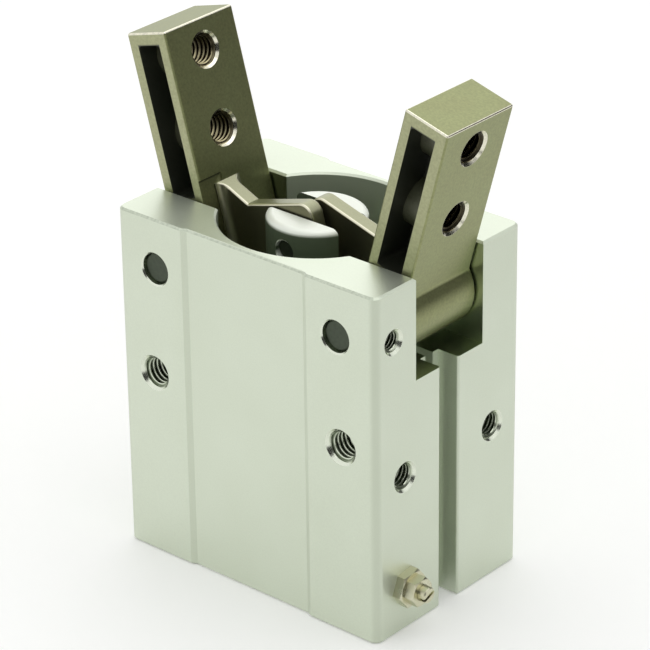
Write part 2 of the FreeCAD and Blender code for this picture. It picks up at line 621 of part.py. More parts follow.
def throttle():
    """Needle valve: hexagon bushing in the body, lock nut, captive needle with its O-ring, drawn along Z."""
    stem = "needle_diameter / 2"
    collar_start = "half_width - bushing_length + running_gap"
    collar_end = f"{collar_start} + collar_length"
    needle_end = "lock_nut_face + needle_reach"
    tip = f"{collar_start} - needle_tip_length"
    tip_radius = "needle_tip_diameter / 2"
    groove = f"{collar_start} + collar_length / 3"
    groove_end = f"{collar_start} + collar_length * 2 / 3"
    groove_floor = "collar_radius - collar_length / 6"
    bevel = "screw_slot / 3"
    blank = turned("needle_blank", [
        (0, tip), (tip_radius, f"{tip} + needle_tip_diameter"), (tip_radius, collar_start),
        ("collar_radius", collar_start), ("collar_radius", groove), (groove_floor, groove),
        (groove_floor, groove_end), ("collar_radius", groove_end), ("collar_radius", collar_end),
        (stem, collar_end), (stem, f"{needle_end} - {bevel}"), (f"{stem} - {bevel}", needle_end),
        (0, needle_end),
    ])
    slot = box("needle_slot", "-needle_diameter", "-screw_slot / 2", f"{needle_end} - screw_slot_depth",
               "2 * needle_diameter", "screw_slot", f"screw_slot_depth + {OVER}")
    needle = cut("throttle_needle", blank, [slot])
    o_ring = ring("needle_o_ring", groove_floor, "collar_radius + running_gap", 0)
    shank_radius = "needle_bore_diameter / 2 - seat_gap"
    shank = tube("bushing_shank", f"{stem} / 2", shank_radius, "bushing_length + bushing_head / 2")
    place(shank, z="half_width - bushing_length")
    head = place(hexagon("bushing_head_bar", "bushing_hex", "bushing_head"), z="half_width")
    room_start = f"half_width - bushing_length - {OVER}"
    room_step = f"{collar_end} + running_gap"
    room_end = f"bushing_face + {OVER}"
    collar_room = "collar_radius + running_gap"
    stem_room = f"{stem} + running_gap"
    room = turned("bushing_room", [
        (0, room_start), (collar_room, room_start), (collar_room, room_step), (stem_room, room_step),
        (stem_room, room_end), (0, room_end),
    ])
    bushing = cut("needle_bushing", fused("bushing_blank", [shank, head]), [room])
    nut_hole = tube_cutter("lock_nut_hole", stem_room, f"lock_nut_height + {2 * OVER}")
    place(nut_hole, z=f"-{OVER}")
    nut = cut("needle_lock_nut", hexagon("lock_nut_bar", "lock_nut_hex", "lock_nut_height"), [nut_hole])
    o_ring_x = f"{collar_start} + collar_length / 2"
    for piece, x, roll in ((needle, 0, "needle_turn"), (bushing, 0, "bushing_turn"),
                           (nut, "bushing_face", "lock_nut_turn"), (o_ring, o_ring_x, 0)):
        place(piece, x, "-needle_y", "needle_height", turn=(90, f"90 - {roll}", 90))
    plug = doc.addObject("Part::Sphere", "passage_plug")
    bind(plug, Radius="plug_diameter / 2 - seat_gap")
    place(plug, "duct_x", "-port_y", "plug_recess + plug_diameter / 2")
    return [needle, bushing, nut, o_ring, plug]


def piston_set():
    """Piston, its screw, seal, wear ring and magnet, all round the rod's lower end."""
    spigot = "spigot_diameter / 2 + seat_gap"
    head_room = "piston_screw_head / 2 + running_gap"
    wear_floor = "bore_radius - wear_ring_depth"
    magnet_floor = "bore_radius - magnet_depth"
    seal_floor = "bore_radius - seal_groove_depth"
    rim = [("piston_radius", 0)]
    for base, width, floor in (("wear_ring_base", "wear_ring_width", wear_floor),
                               ("magnet_base", "magnet_width", magnet_floor),
                               ("seal_base", "seal_width", seal_floor)):
        end = f"{base} + {width} + 2 * seat_gap"
        rim += [("piston_radius", base), (floor, base), (floor, end), ("piston_radius", end)]
    disc = turned("piston", rim + [
        ("piston_radius", "piston_thickness"), (spigot, "piston_thickness"),
        (spigot, "piston_screw_head_height"), (head_room, "piston_screw_head_height"), (head_room, 0),
    ])
    place(disc, z="piston_bottom")
    wear = tube("wear_ring", f"{wear_floor} + seat_gap", "bore_radius - running_gap", "wear_ring_width")
    place(wear, z="piston_bottom + wear_ring_base + seat_gap")
    magnet = tube("magnet_ring", f"{magnet_floor} + seat_gap", "piston_radius - seat_gap", "magnet_width")
    place(magnet, z="piston_bottom + magnet_base + seat_gap")
    seal_inner = f"{seal_floor} + seat_gap"
    seal_outer = "bore_radius - running_gap"
    bevel = "seal_width / 4"
    seal = turned("piston_seal", [
        (seal_inner, 0), (f"{seal_outer} - {bevel}", 0), (seal_outer, bevel),
        (seal_outer, f"seal_width - {bevel}"), (f"{seal_outer} - {bevel}", "seal_width"),
        (seal_inner, "seal_width"),
    ])
    place(seal, z="piston_bottom + seal_base + seat_gap")
    shank = "piston_screw_diameter / 2"
    head = "piston_screw_head / 2"
    screw_end = "piston_screw_head_height + piston_screw_length"
    blank = turned("piston_screw_blank", [
        (0, 0), (f"{head} - edge_break", 0), (head, "edge_break"), (head, "piston_screw_head_height"),
        (shank, "piston_screw_head_height"), (shank, f"{screw_end} - edge_break"),
        (f"{shank} - edge_break", screw_end), (0, screw_end),
    ])
    socket = hexagon_bar("piston_screw_socket", "piston_screw_hex", f"piston_screw_head_height / 2 + {OVER}")
    place(socket, z=f"-{OVER}")
    screw = place(cut("piston_screw", blank, [socket]), z="piston_bottom")
    return [disc, wear, magnet, seal, screw]


def piston_rod():
    """Rod with the slotted head that carries the cross pin, and a spigot for the piston."""
    spigot = "spigot_diameter / 2"
    rod_radius = "rod_diameter / 2"
    head_radius = "head_diameter / 2"
    tap = "piston_screw_diameter / 2 + seat_gap"
    spigot_end = "piston_bottom + piston_screw_head_height + seat_gap"
    tap_end = f"piston_bottom + piston_screw_head_height + piston_screw_length + {OVER}"
    groove = "piston_top - piston_thickness / 3"
    groove_end = f"{groove} + spigot_diameter / 5"
    groove_floor = "spigot_diameter * 3 / 8"
    blank = turned("rod_blank", [
        (tap, spigot_end), (spigot, spigot_end), (spigot, groove), (groove_floor, groove),
        (groove_floor, groove_end), (spigot, groove_end), (spigot, "piston_top"), (rod_radius, "piston_top"),
        (rod_radius, "head_bottom"), (f"{head_radius} - edge_break", "head_bottom"),
        (head_radius, "head_bottom + edge_break"), (head_radius, "head_top"), (0, "head_top"),
        (0, tap_end), (tap, tap_end),
    ])
    doc.recompute()
    top = blank.Shape.BoundBox.ZMax

    def top_rim(edge, middle):
        return near(middle.z, top)

    edge_feature(blank, "Fillet", "head_top_edge", top_rim, Radius="head_round")
    slot = box("head_slot", f"-head_diameter / 2 - {OVER}", "-head_slot_width / 2", "head_slot_bottom",
               f"head_diameter + {2 * OVER}", "head_slot_width", f"head_top - head_slot_bottom + {OVER}")
    pin_radius = "cross_pin_diameter / 2"
    hole = through_drill("cross_pin_hole", f"({pin_radius} + seat_gap)", "head_diameter", "cross_pin_chamfer")
    place(hole, 0, f"-{head_radius}", "cross_pin_height", "back")
    rod = cut("piston_rod", blank, [slot, hole])
    pin_length = "(head_diameter - 2 * cross_pin_recess)"
    dowel = pin("cross_pin", pin_radius, pin_length, "cross_pin_chamfer")
    place(dowel, 0, f"cross_pin_recess - {head_radius}", "cross_pin_height", "back")
    o_ring = ring("rod_o_ring", groove_floor, f"{spigot} + seat_gap", f"({groove} + {groove_end}) / 2")
    return [rod, dowel, o_ring]


def finger(side, sign, yaw):
    """Cast lever with its arm: upright finger with pocketed sides, hub on the pivot, seat for the arm.

    Drawn upright about its pivot with the arm along +X, then leaned outwards. Both fingers are the
    same pieces, the right ones turned half round, so that their arms pass each other in the head.
    """
    name = side + "_finger"
    lever = new_body(name)
    pad(lever, name + "_upright", "XZ_Plane", [
        ("-finger_outer", 0), ("finger_inner", 0), ("finger_inner", "finger_length"),
        ("-finger_outer", "finger_length"),
    ], "finger_width", symmetric=True)
    primitive(lever, "AdditiveCylinder", name + "_hub", (0, "-finger_width / 2", 0), "back",
              Radius="hub_radius", Height="finger_width")
    primitive(lever, "SubtractiveBox", name + "_hub_flat",
              ("finger_inner", f"-finger_width / 2 - {OVER}", f"-hub_radius - {OVER}"),
              Length="hub_radius", Width=f"finger_width + {2 * OVER}", Height=f"2 * (hub_radius + {OVER})")
    outer = -size("finger_outer")
    half = size("finger_width") / 2
    top = size("finger_length")

    def hub_corner(edge, middle):
        return straight_along(edge, ACROSS) and near(middle.x, outer) and 0 < middle.z < top / 2

    def outside_edge(edge, middle):
        return near(abs(middle.y), half) or near(middle.z, top)

    edge_feature(lever, "Fillet", name + "_hub_hollows", hub_corner, Radius="hub_fillet")
    edge_feature(lever, "Fillet", name + "_edges", outside_edge, Radius="finger_edge_round")
    finger_relief(lever, name)
    seat = lever.newObject("PartDesign::Boolean", name + "_arm_seat")
    seat.Type = "Cut"
    seat.addObjects([finger_arm(name + "_arm_room")])
    finger_pockets(lever, name)
    finger_holes(lever, name)
    return [place(piece, f"{sign}pivot_offset", 0, "pivot_height", turn=(yaw, "-open_angle", 0))
            for piece in (lever, finger_arm(side + "_arm"))]


def finger_relief(lever, name):
    """Shallow step in the inner face, in front of the arm and a little way over it."""
    for part, side, low in (("front", "arm_foot_front", f"-hub_radius - {OVER}"),
                            ("upper", "relief_inner", "arm_flare")):
        primitive(lever, "SubtractiveBox", f"{name}_{part}_relief",
                  ("finger_inner - relief_depth", f"-finger_width / 2 - {OVER}", low),
                  Length=f"relief_depth + {OVER}", Width=f"finger_width / 2 + {OVER} - {side}",
                  Height=f"relief_top - ({low})")


def finger_arm(name):
    """Flat arm with a flared foot let into the finger's inner face and a slot for the cross pin."""
    arm = new_body(name)
    near_side = "-arm_middle_gap / 2"
    far_side = "-arm_far_side"
    foot_near = f"{near_side} + arm_foot_wing"
    pad(arm, name + "_blank", "XY_Plane", [
        ("arm_foot_back", "-arm_foot_front"), ("finger_inner", "-arm_foot_front"), ("finger_inner", far_side),
        ("arm_end", far_side), ("arm_end", near_side), ("finger_inner", near_side),
        ("finger_inner", foot_near), ("arm_foot_back", foot_near),
    ], "arm_low + arm_flare", offset="-arm_low")
    face = size("finger_inner")
    kink = size("arm_kink_out")
    sides = [-size("arm_middle_gap") / 2, -size("arm_middle_gap") / 2 - size("arm_thickness")]

    def root_edge(edge, middle):
        at_side = any(near(middle.y, side) for side in sides)
        return straight_along(edge, UP) and near(middle.x, face) and at_side

    def kink_edge(edge, middle):
        return straight_along(edge, ACROSS) and near(middle.x, kink)

    def end_corner(edge, middle):
        return straight_along(edge, ACROSS) and middle.x > size("pivot_offset")

    def top_edge(edge, middle):
        beside_arm = any(near(middle.y, side) for side in sides)
        return beside_arm and middle.x > face and middle.z > 0

    edge_feature(arm, "Fillet", name + "_root", root_edge, Radius="arm_root_fillet")
    pad(arm, name + "_top", "XZ_Plane", [
        ("finger_inner", "arm_flare"), ("arm_kink_out", "arm_kink_up"), ("arm_end", "arm_top"),
        (f"arm_end + {OVER}", "arm_top"), (f"arm_end + {OVER}", f"arm_flare + {OVER}"),
        ("finger_inner", f"arm_flare + {OVER}"),
    ], "4 * arm_foot_front", symmetric=True, kind="Pocket")
    edge_feature(arm, "Fillet", name + "_kink", kink_edge, Radius="arm_kink_round")
    edge_feature(arm, "Fillet", name + "_end", end_corner, Radius="arm_end_round")
    edge_feature(arm, "Fillet", name + "_edges", top_edge, Radius="arm_edge_round")
    slot_start = f"-arm_far_side - {OVER}"
    slot_depth = f"arm_far_side + {OVER}"
    for end in ("near", "far"):
        primitive(arm, "SubtractiveCylinder", f"{name}_slot_{end}", (f"slot_{end}", slot_start, 0), "back",
                  Radius="slot_half", Height=slot_depth)
    primitive(arm, "SubtractiveBox", name + "_slot", ("slot_near", slot_start, "-slot_half"),
              Length="slot_far - slot_near", Width=slot_depth, Height="2 * slot_half")
    return arm


def finger_pockets(lever, name):
    """Pocket in the finger's front and back, with a web between them and a boss round each tapped hole."""
    depth = "(finger_width - pocket_web) / 2"
    for side, start in (("front", f"-finger_width / 2 - {OVER}"), ("back", "pocket_web / 2")):
        corner = ("-pocket_outer", start, "pocket_bottom")
        primitive(lever, "SubtractiveBox", f"{name}_{side}_pocket", corner,
                  Length="pocket_outer + pocket_inner", Width=f"{depth} + {OVER}",
                  Height="pocket_top - pocket_bottom")
    walls = (-size("pocket_outer"), size("pocket_inner"))
    ends = (size("pocket_bottom"), size("pocket_top"))

    def pocket_corner(edge, middle):
        at_wall = any(near(middle.x, wall) for wall in walls)
        return straight_along(edge, ACROSS) and at_wall and any(near(middle.z, end) for end in ends)

    edge_feature(lever, "Fillet", name + "_pocket_corners", pocket_corner, Radius="pocket_round")
    for level in ("low", "high"):
        middle = ("-pocket_outer", 0, f"finger_tap_{level}")
        primitive(lever, "AdditiveCylinder", f"{name}_{level}_boss", middle, "right",
                  Radius="finger_boss_diameter / 2", Height="pocket_outer + pocket_inner")


def finger_holes(lever, name):
    """Tapped holes through the finger, chamfered at both mouths, and the bore for the pivot bushes."""
    tap = "finger_tap_diameter / 2"
    for level in ("low", "high"):
        height = f"finger_tap_{level}"
        start = (f"-finger_outer - {OVER}", 0, height)
        primitive(lever, "SubtractiveCylinder", f"{name}_{level}_tap", start, "right",
                  Radius=tap, Height=f"finger_outer + finger_inner + {2 * OVER}")
        for face, x, facing in (("inner", "finger_inner", "left"), ("outer", "-finger_outer", "right")):
            primitive(lever, "SubtractiveCone", f"{name}_{level}_{face}_mouth", (x, 0, height), facing,
                      Radius1=f"{tap} + tap_chamfer", Radius2=tap, Height="tap_chamfer")
    primitive(lever, "SubtractiveCylinder", name + "_bore", (0, f"-finger_width / 2 - {OVER}", 0), "back",
              Radius="bush_radius + seat_gap", Height=f"finger_width + {2 * OVER}")


def finger_bushes(side, sign):
    """Two plain bushes pressed into a finger's hub, one at each end."""
    inner = "bush_radius - bush_wall"
    pair = []
    for end, y in (("front", "-finger_width / 2"), ("back", "finger_width / 2 - bush_length")):
        bush = tube(f"{side}_{end}_bush", inner, "bush_radius", "bush_length")
        pair.append(place(bush, f"{sign}pivot_offset", y, "pivot_height", "back"))
    return group(side + "_finger_bushes", pair)


def all_parts():
    """Every piece, each under the name of its file."""
    parts = [body()]
    screws = []
    for side, sign, outwards, yaw in (("left", "-", "left", 0), ("right", "", "right", 180)):
        parts.append(pivot_pin(side, sign))
        screws.append(set_screw(side, sign, outwards))
        parts += finger(side, sign, yaw)
        parts.append(finger_bushes(side, sign))
    parts.append(group("pin_set_screws", screws))
    return parts + rod_guide() + bottom_closure() + throttle() + piston_set() + piston_rod()


def check(parts):
    """Stop if any object failed to build or any piece is missing or broken."""
    failed = [thing.Name for thing in doc.Objects if {"Invalid", "Error"} & set(thing.State)]
    broken = [part.Label for part in parts if part.Shape.isNull() or not part.Shape.isValid()]
    if failed or broken:
        raise RuntimeError(f"did not build: {failed + broken}")


parts = all_parts()
doc.recompute()
check(parts)
os.makedirs("parts", exist_ok=True)
for part in parts:
    part.Shape.exportStep(f"parts/{part.Label}.step")
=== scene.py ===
import math

import bmesh
import bpy
from mathutils import Matrix, Vector


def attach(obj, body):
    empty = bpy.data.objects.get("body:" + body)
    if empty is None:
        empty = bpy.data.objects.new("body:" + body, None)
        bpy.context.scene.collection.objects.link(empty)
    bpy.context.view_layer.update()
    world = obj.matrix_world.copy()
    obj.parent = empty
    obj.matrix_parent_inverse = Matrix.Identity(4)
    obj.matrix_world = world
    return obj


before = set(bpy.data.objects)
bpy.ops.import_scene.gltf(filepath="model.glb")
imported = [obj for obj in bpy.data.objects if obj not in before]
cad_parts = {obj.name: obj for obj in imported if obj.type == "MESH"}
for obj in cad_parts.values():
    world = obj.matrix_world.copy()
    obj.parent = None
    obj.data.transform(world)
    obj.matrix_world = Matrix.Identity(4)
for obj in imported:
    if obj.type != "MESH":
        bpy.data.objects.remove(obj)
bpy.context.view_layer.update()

MM = 0.001

# Where the camera stood: metres and degrees. The picture is square, so the lens fits its width.
CAMERA_SPOT = (0.351645, -0.402434, 0.314137)
CAMERA_AZIMUTH = 41.031
CAMERA_ELEVATION = 26.639
CAMERA_ROLL = -0.783
CAMERA_LENS = 184.7
SENSOR_WIDTH = 36

# The studio: metres from the middle to the edge of its floor and cards, the light that its white walls
# throw, and what the floor adds to its own light for the camera alone
FLOOR_SIZE = 3
CARD_SIZE = 0.5
WALL_LIGHT = 0.72
FLOOR_GLOW = 0.16

# The body, in millimetres, as the solids have it; the chamfer of its rims begins at the height RIM_CHAMFER
BODY_HALF_WIDTH = 30
BODY_HALF_DEPTH = 20
BODY_HEIGHT = 68
SLOT_HALF_WIDTH = 9.25
SLOT_FLOOR = 48.4
WELL_RADIUS = 17.95
WELL_FLOOR = 44
RIM_CHAMFER = 67.58
PIVOT_PIN = 6
PIN_HOLE_CHAMFER = 0.25

# Width of the band in which the body's edges are filed, and the least product of their normal's Y and Z,
# which is 0.5 on a slant of 45 degrees
FILED_EDGE = 0.8
EDGE_TURN = 0.4

# Tapped holes of the body: where they are, then the size and the depth of their threads
SIDE_TAP = (22, 37.2)
BASE_TAP = (17, 15.5)
PORT = (12.2, 30.8)
PIN_SCREW = (-15.2, 58.2)
SIDE_THREAD = (6, 9)
BASE_THREAD = (5, 8)
PORT_THREAD = (5, 6)
SCREW_THREAD = (4, 2.9)
HOLE_CHAMFER = 0.45

# The right finger: its pivot in the body, then millimetres outwards and along from that pivot
FINGER_PIVOT = (21, 58.2)
FINGER_LEAN = 15.4
FINGER_OUTER = 5
FINGER_WALL = 9.5
FINGER_TOP = 40.3
FINGER_ROUND = 0.4
FINGER_TAPS = (20, 34.5)
FINGER_THREAD = 6
FINGER_BOSS = 5.1
POCKET_ACROSS = (-2.5, 2.8)
POCKET_ALONG = (9.6, 37.9)
RELIEF_FLOOR = -4.25
# Heights along the finger over which the painted shade on the floor of the step in its inner face deepens
RELIEF_SHADE = (12.2, 12.5)

# Bright mouths reach this far past their chamfers, and the painted highlight on rounds stops this far short
# of their flats
BRIGHT_MARGIN = 0.02

# How near to the relief's floor a point lies, and how straight it faces, if it is part of that floor
RELIEF_MARGIN = 0.1
RELIEF_STRAIGHT = 0.94

# Share by which the painted shade in the finger's side pockets is lifted off the bosses in them
BOSS_SHADE_LIFT = 0.2

# Threads: steps in a turn, depth in pitches, gap to the wall, and coarse pitches by size
THREAD_STEPS = 48
THREAD_DEPTH = 0.541
THREAD_CLEARANCE = 0.01
COARSE_PITCH = {4: 0.7, 5: 0.8, 6: 1.0}

# A thread's helix starts this many pitches above the mouth and has turns to spare, to be cut square
THREAD_LEAD = 1.5
THREAD_SPARE = 3

# Degrees past which a thread's edges are sharp, and the name of its points' height above the root
THREAD_SHARP = 35
THREAD_HEIGHT = "thread_height"


def linear(colour):
    """Blender's linear colour for an sRGB hex value."""
    parts = [int(colour[start:start + 2], 16) / 255 for start in (1, 3, 5)]
    return [part / 12.92 if part <= 0.04045 else ((part + 0.055) / 1.055) ** 2.4 for part in parts] + [1]


def per_mm(size):
    """Scale of a pattern whose features are this many millimetres across."""
    return 1 / (size * MM)


def half(span):
    """Half the length of a span."""
    return (span[1] - span[0]) / 2


def middle(span):
    """The middle of a span."""
    return (span[0] + span[1]) / 2


def finger_spot(outwards, along):
    """A point in the middle of the right finger at rest, measured from its pivot in millimetres."""
    lean = math.radians(FINGER_LEAN)
    x = FINGER_PIVOT[0] + outwards * math.cos(lean) + along * math.sin(lean)
    z = FINGER_PIVOT[1] - outwards * math.sin(lean) + along * math.cos(lean)
    return Vector((x, 0, z)) * MM


def in_use(sockets, name):
    """The socket with this number, or the first with this name that the node's settings leave in use."""
    if isinstance(name, int):
        return sockets[name]
    return next(socket for socket in sockets if socket.enabled and socket.name == name)


def node(tree, kind, inputs=None, **settings):
    """Add a node: settings are its own properties, inputs hold a value or what feeds each input.

    What feeds it is a socket, or a node, which means that node's first output in use.
    """
    made = tree.nodes.new(kind)
    for name, value in settings.items():
        setattr(made, name, value)
    for name, value in (inputs or {}).items():
        socket = in_use(made.inputs, name)
        if isinstance(value, bpy.types.Node):
            value = next(output for output in value.outputs if output.enabled)
        if isinstance(value, bpy.types.NodeSocket):
            tree.links.new(value, socket)
        else:
            socket.default_value = value
    return made


def finish(name):
    """A new material with an empty tree, and its object coordinates."""
    made = bpy.data.materials.new(name)
    made.use_nodes = True
    made.node_tree.nodes.clear()
    place = node(made.node_tree, "ShaderNodeTexCoord").outputs["Object"]
    return made, made.node_tree, place


def facing(tree):
    """X, Y and Z of the way that the surface faces, in the object's own axes."""
    normal = node(tree, "ShaderNodeTexCoord").outputs["Normal"]
    return node(tree, "ShaderNodeSeparateXYZ", {"Vector": normal}).outputs


def body_hollows(tree, place):
    """Where the body's slot is, where its round opening is, and where both lie below their rims' chamfer."""
    spot = node(tree, "ShaderNodeSeparateXYZ", {"Vector": place}).outputs
    sideways = node(tree, "ShaderNodeMath", {0: spot["Y"]}, operation="ABSOLUTE")
    in_slot = node(tree, "ShaderNodeMath", {0: sideways, 1: SLOT_HALF_WIDTH * MM}, operation="LESS_THAN")
    over_slot = node(tree, "ShaderNodeMath", {0: spot["Z"], 1: SLOT_FLOOR * MM}, operation="GREATER_THAN")
    slot = node(tree, "ShaderNodeMath", {0: in_slot, 1: over_slot}, operation="MULTIPLY")
    flat = node(tree, "ShaderNodeVectorMath", {0: place, 1: (1, 1, 0)}, operation="MULTIPLY")
    from_axis = node(tree, "ShaderNodeVectorMath", {0: flat}, operation="LENGTH")
    in_well = node(tree, "ShaderNodeMath", {0: from_axis, 1: WELL_RADIUS * MM}, operation="LESS_THAN")
    over_well = node(tree, "ShaderNodeMath", {0: spot["Z"], 1: WELL_FLOOR * MM}, operation="GREATER_THAN")
    well = node(tree, "ShaderNodeMath", {0: in_well, 1: over_well}, operation="MULTIPLY")
    either = node(tree, "ShaderNodeMath", {0: slot, 1: well}, operation="MAXIMUM")
    under_rim = node(tree, "ShaderNodeMath", {0: spot["Z"], 1: RIM_CHAMFER * MM}, operation="LESS_THAN")
    inside = node(tree, "ShaderNodeMath", {0: either, 1: under_rim}, operation="MULTIPLY")
    return slot, well, inside


def countersinks(tree, place):
    """Where the body's holes are countersunk: within a hole's radius of the middle of its mouth."""
    mirrored = node(tree, "ShaderNodeVectorMath", {0: place}, operation="ABSOLUTE")
    side, base, port, screw = (hole[0] / 2 + HOLE_CHAMFER for hole in (
        SIDE_THREAD, BASE_THREAD, PORT_THREAD, SCREW_THREAD))
    pin = PIVOT_PIN / 2 + PIN_HOLE_CHAMFER
    mouths = [(mirrored, (SIDE_TAP[0], BODY_HALF_DEPTH, SIDE_TAP[1]), side),
              (mirrored, (FINGER_PIVOT[0], BODY_HALF_DEPTH, FINGER_PIVOT[1]), pin),
              (mirrored, (*BASE_TAP, 0), base)]
    for sign in (-1, 1):
        mouths.append((place, (BODY_HALF_WIDTH, sign * PORT[0], PORT[1]), port))
        mouths.append((place, (sign * BODY_HALF_WIDTH, *PIN_SCREW), screw))
    sunk = 0.0
    for seen, spot, radius in mouths:
        away = node(tree, "ShaderNodeVectorMath", {0: seen, 1: Vector(spot) * MM}, operation="DISTANCE")
        near = node(tree, "ShaderNodeMath", {0: away, 1: (radius + BRIGHT_MARGIN) * MM},
                    operation="LESS_THAN")
        sunk = node(tree, "ShaderNodeMath", {0: sunk, 1: near}, operation="MAXIMUM")
    return sunk


def filed_edges(tree, place):
    """How deep the file has bitten along the top and the bottom of the body's front and back.

    Those edges face half up or down and half to the front or back.
    """
    spot = node(tree, "ShaderNodeSeparateXYZ", {"Vector": place}).outputs
    way = facing(tree)
    tilt = node(tree, "ShaderNodeMath", {0: way["Y"], 1: way["Z"]}, operation="MULTIPLY")
    steep = node(tree, "ShaderNodeMath", {0: tilt}, operation="ABSOLUTE")
    slanted = node(tree, "ShaderNodeMath", {0: steep, 1: EDGE_TURN}, operation="GREATER_THAN")
    from_middle = node(tree, "ShaderNodeMath", {0: spot["Z"], 1: BODY_HEIGHT / 2 * MM}, operation="SUBTRACT")
    upright = node(tree, "ShaderNodeMath", {0: from_middle}, operation="ABSOLUTE")
    at_end = node(tree, "ShaderNodeMath", {0: upright, 1: (BODY_HEIGHT / 2 - FILED_EDGE) * MM},
                  operation="GREATER_THAN")
    sideways = node(tree, "ShaderNodeMath", {0: spot["Y"]}, operation="ABSOLUTE")
    at_face = node(tree, "ShaderNodeMath", {0: sideways, 1: (BODY_HALF_DEPTH - FILED_EDGE) * MM},
                   operation="GREATER_THAN")
    at_edge = node(tree, "ShaderNodeMath", {0: at_end, 1: at_face}, operation="MULTIPLY")
    edge = node(tree, "ShaderNodeMath", {0: at_edge, 1: slanted}, operation="MULTIPLY")
    # The file's teeth are about 0.3 mm apart; their marks are drawn 0.6 mm apart so that they show
    teeth = node(tree, "ShaderNodeTexNoise", {"Vector": place, "Scale": per_mm(0.6), "Detail": 2})
    bitten = node(tree, "ShaderNodeMapRange", {
        "Value": teeth, "From Min": 0.3, "From Max": 0.7, "To Min": 0.1, "To Max": 0.6})
    return node(tree, "ShaderNodeMath", {0: edge, 1: bitten}, operation="MULTIPLY")


def blasted_anodised_aluminium():
    """Aluminium, bead blasted and clear anodised: an even, pale, silky grey with a faint grain.

    The slot and the round opening are milled and bored bare of beads, so they are smoother and mirror the
    dark between the fingers. The mouths of the holes are countersunk, which leaves bright rings. The long
    edges are broken with a file, which leaves a rough grey line. The rounds of the upright corners are
    painted a duller colour as painted shade. The clear oxide film lies over it all like a thin varnish.
    """
    made, tree, place = finish("blasted_anodised_aluminium")
    slot, well, inside = body_hollows(tree, place)
    sunk = countersinks(tree, place)
    # The dents of the beads are about 0.1 mm; they are drawn at 0.3 mm so that they show
    dents = node(tree, "ShaderNodeTexNoise", {"Vector": place, "Scale": per_mm(0.3), "Detail": 2})
    cloud = node(tree, "ShaderNodeTexNoise", {"Vector": place, "Scale": per_mm(14), "Detail": 3})
    tone = node(tree, "ShaderNodeMix", {"Factor": cloud, "A": linear("#D4DCC8"), "B": linear("#DCE4D2")},
                data_type="RGBA")
    speckle = node(tree, "ShaderNodeMapRange", {
        "Value": dents, "From Min": 0.3, "From Max": 0.7, "To Min": 0.955, "To Max": 1.0})
    blasted = node(tree, "ShaderNodeVectorMath", {0: tone, 1: speckle}, operation="MULTIPLY")
    milled = node(tree, "ShaderNodeMix", {"Factor": inside, "A": blasted, "B": linear("#C6D2B9")},
                  data_type="RGBA")
    way = facing(tree)
    # Painted shade: the rounds of the upright corners, where the surface turns between X and Y, get a duller
    # colour
    turn = node(tree, "ShaderNodeMath", {0: way["X"], 1: way["Y"]}, operation="MULTIPLY")
    sharp = node(tree, "ShaderNodeMath", {0: turn}, operation="ABSOLUTE")
    painted_corner_shade = node(tree, "ShaderNodeMapRange", {
        "Value": sharp, "From Min": 0.1, "From Max": 0.45, "To Min": 0, "To Max": 0.5})
    corner_shaded = node(tree, "ShaderNodeMix", {"Factor": painted_corner_shade, "A": milled, "B": linear("#BFC7B3")},
                    data_type="RGBA")
    edged = node(tree, "ShaderNodeMix", {
        "Factor": filed_edges(tree, place), "A": corner_shaded, "B": linear("#98A28F")}, data_type="RGBA")
    colour = node(tree, "ShaderNodeMix", {"Factor": sunk, "A": edged, "B": linear("#DDE3D2")},
                  data_type="RGBA")
    silky = node(tree, "ShaderNodeMapRange", {"Value": dents, "To Min": 0.34, "To Max": 0.46})
    smoother = node(tree, "ShaderNodeMix", {"Factor": inside, "A": silky, "B": 0.28})
    rough = node(tree, "ShaderNodeMix", {"Factor": sunk, "A": smoother, "B": 0.22})
    bare = node(tree, "ShaderNodeMath", {0: slot, 1: sunk}, operation="MAXIMUM")
    oxide = node(tree, "ShaderNodeMix", {"Factor": well, "A": 0.76, "B": 0.5})
    metal = node(tree, "ShaderNodeMix", {"Factor": bare, "A": oxide, "B": 1.0})
    bump = node(tree, "ShaderNodeBump", {"Height": dents, "Strength": 0.12, "Distance": 0.03 * MM})
    shader = node(tree, "ShaderNodeBsdfPrincipled", {
        "Base Color": colour, "Metallic": metal, "Roughness": rough, "Normal": bump, "Coat Weight": 0.5,
        "Coat Roughness": 0.35})
    node(tree, "ShaderNodeOutputMaterial", {"Surface": shader})
    return made


def finger_place(tree, place):
    """A place on either finger, in millimetres outwards, across and along from its pivot. Both are alike."""
    mirrored = node(tree, "ShaderNodeVectorMath", {0: place}, operation="ABSOLUTE")
    return node(tree, "ShaderNodeMapping", {
        "Vector": mirrored, "Location": finger_spot(0, 0), "Rotation": (0, math.radians(FINGER_LEAN), 0),
        "Scale": (MM, MM, MM)}, vector_type="TEXTURE")


def from_finger_taps(tree, spot):
    """Millimetres from the axis of the finger's nearest tapped hole."""
    across = node(tree, "ShaderNodeVectorMath", {0: spot, 1: (0, 1, 1)}, operation="MULTIPLY")
    lower, upper = (node(tree, "ShaderNodeVectorMath", {0: across, 1: (0, 0, tap)}, operation="DISTANCE")
                    for tap in FINGER_TAPS)
    return node(tree, "ShaderNodeMath", {0: lower, 1: upper}, operation="MINIMUM")


def outside_pockets(tree, spot):
    """0 in the finger's side pockets and 1 around them."""
    half_width = half(POCKET_ACROSS)
    half_length = half(POCKET_ALONG)
    reach = node(tree, "ShaderNodeVectorMath", {
        0: spot, 1: (1 / half_width, 1, 1 / half_length),
        2: (-middle(POCKET_ACROSS) / half_width, 0, -middle(POCKET_ALONG) / half_length)},
        operation="MULTIPLY_ADD")
    either_way = node(tree, "ShaderNodeVectorMath", {0: reach}, operation="ABSOLUTE")
    sides = node(tree, "ShaderNodeSeparateXYZ", {"Vector": either_way}).outputs
    furthest = node(tree, "ShaderNodeMath", {0: sides["X"], 1: sides["Z"]}, operation="MAXIMUM")
    return node(tree, "ShaderNodeMapRange", {"Value": furthest, "From Min": 1.0, "From Max": 1.02})


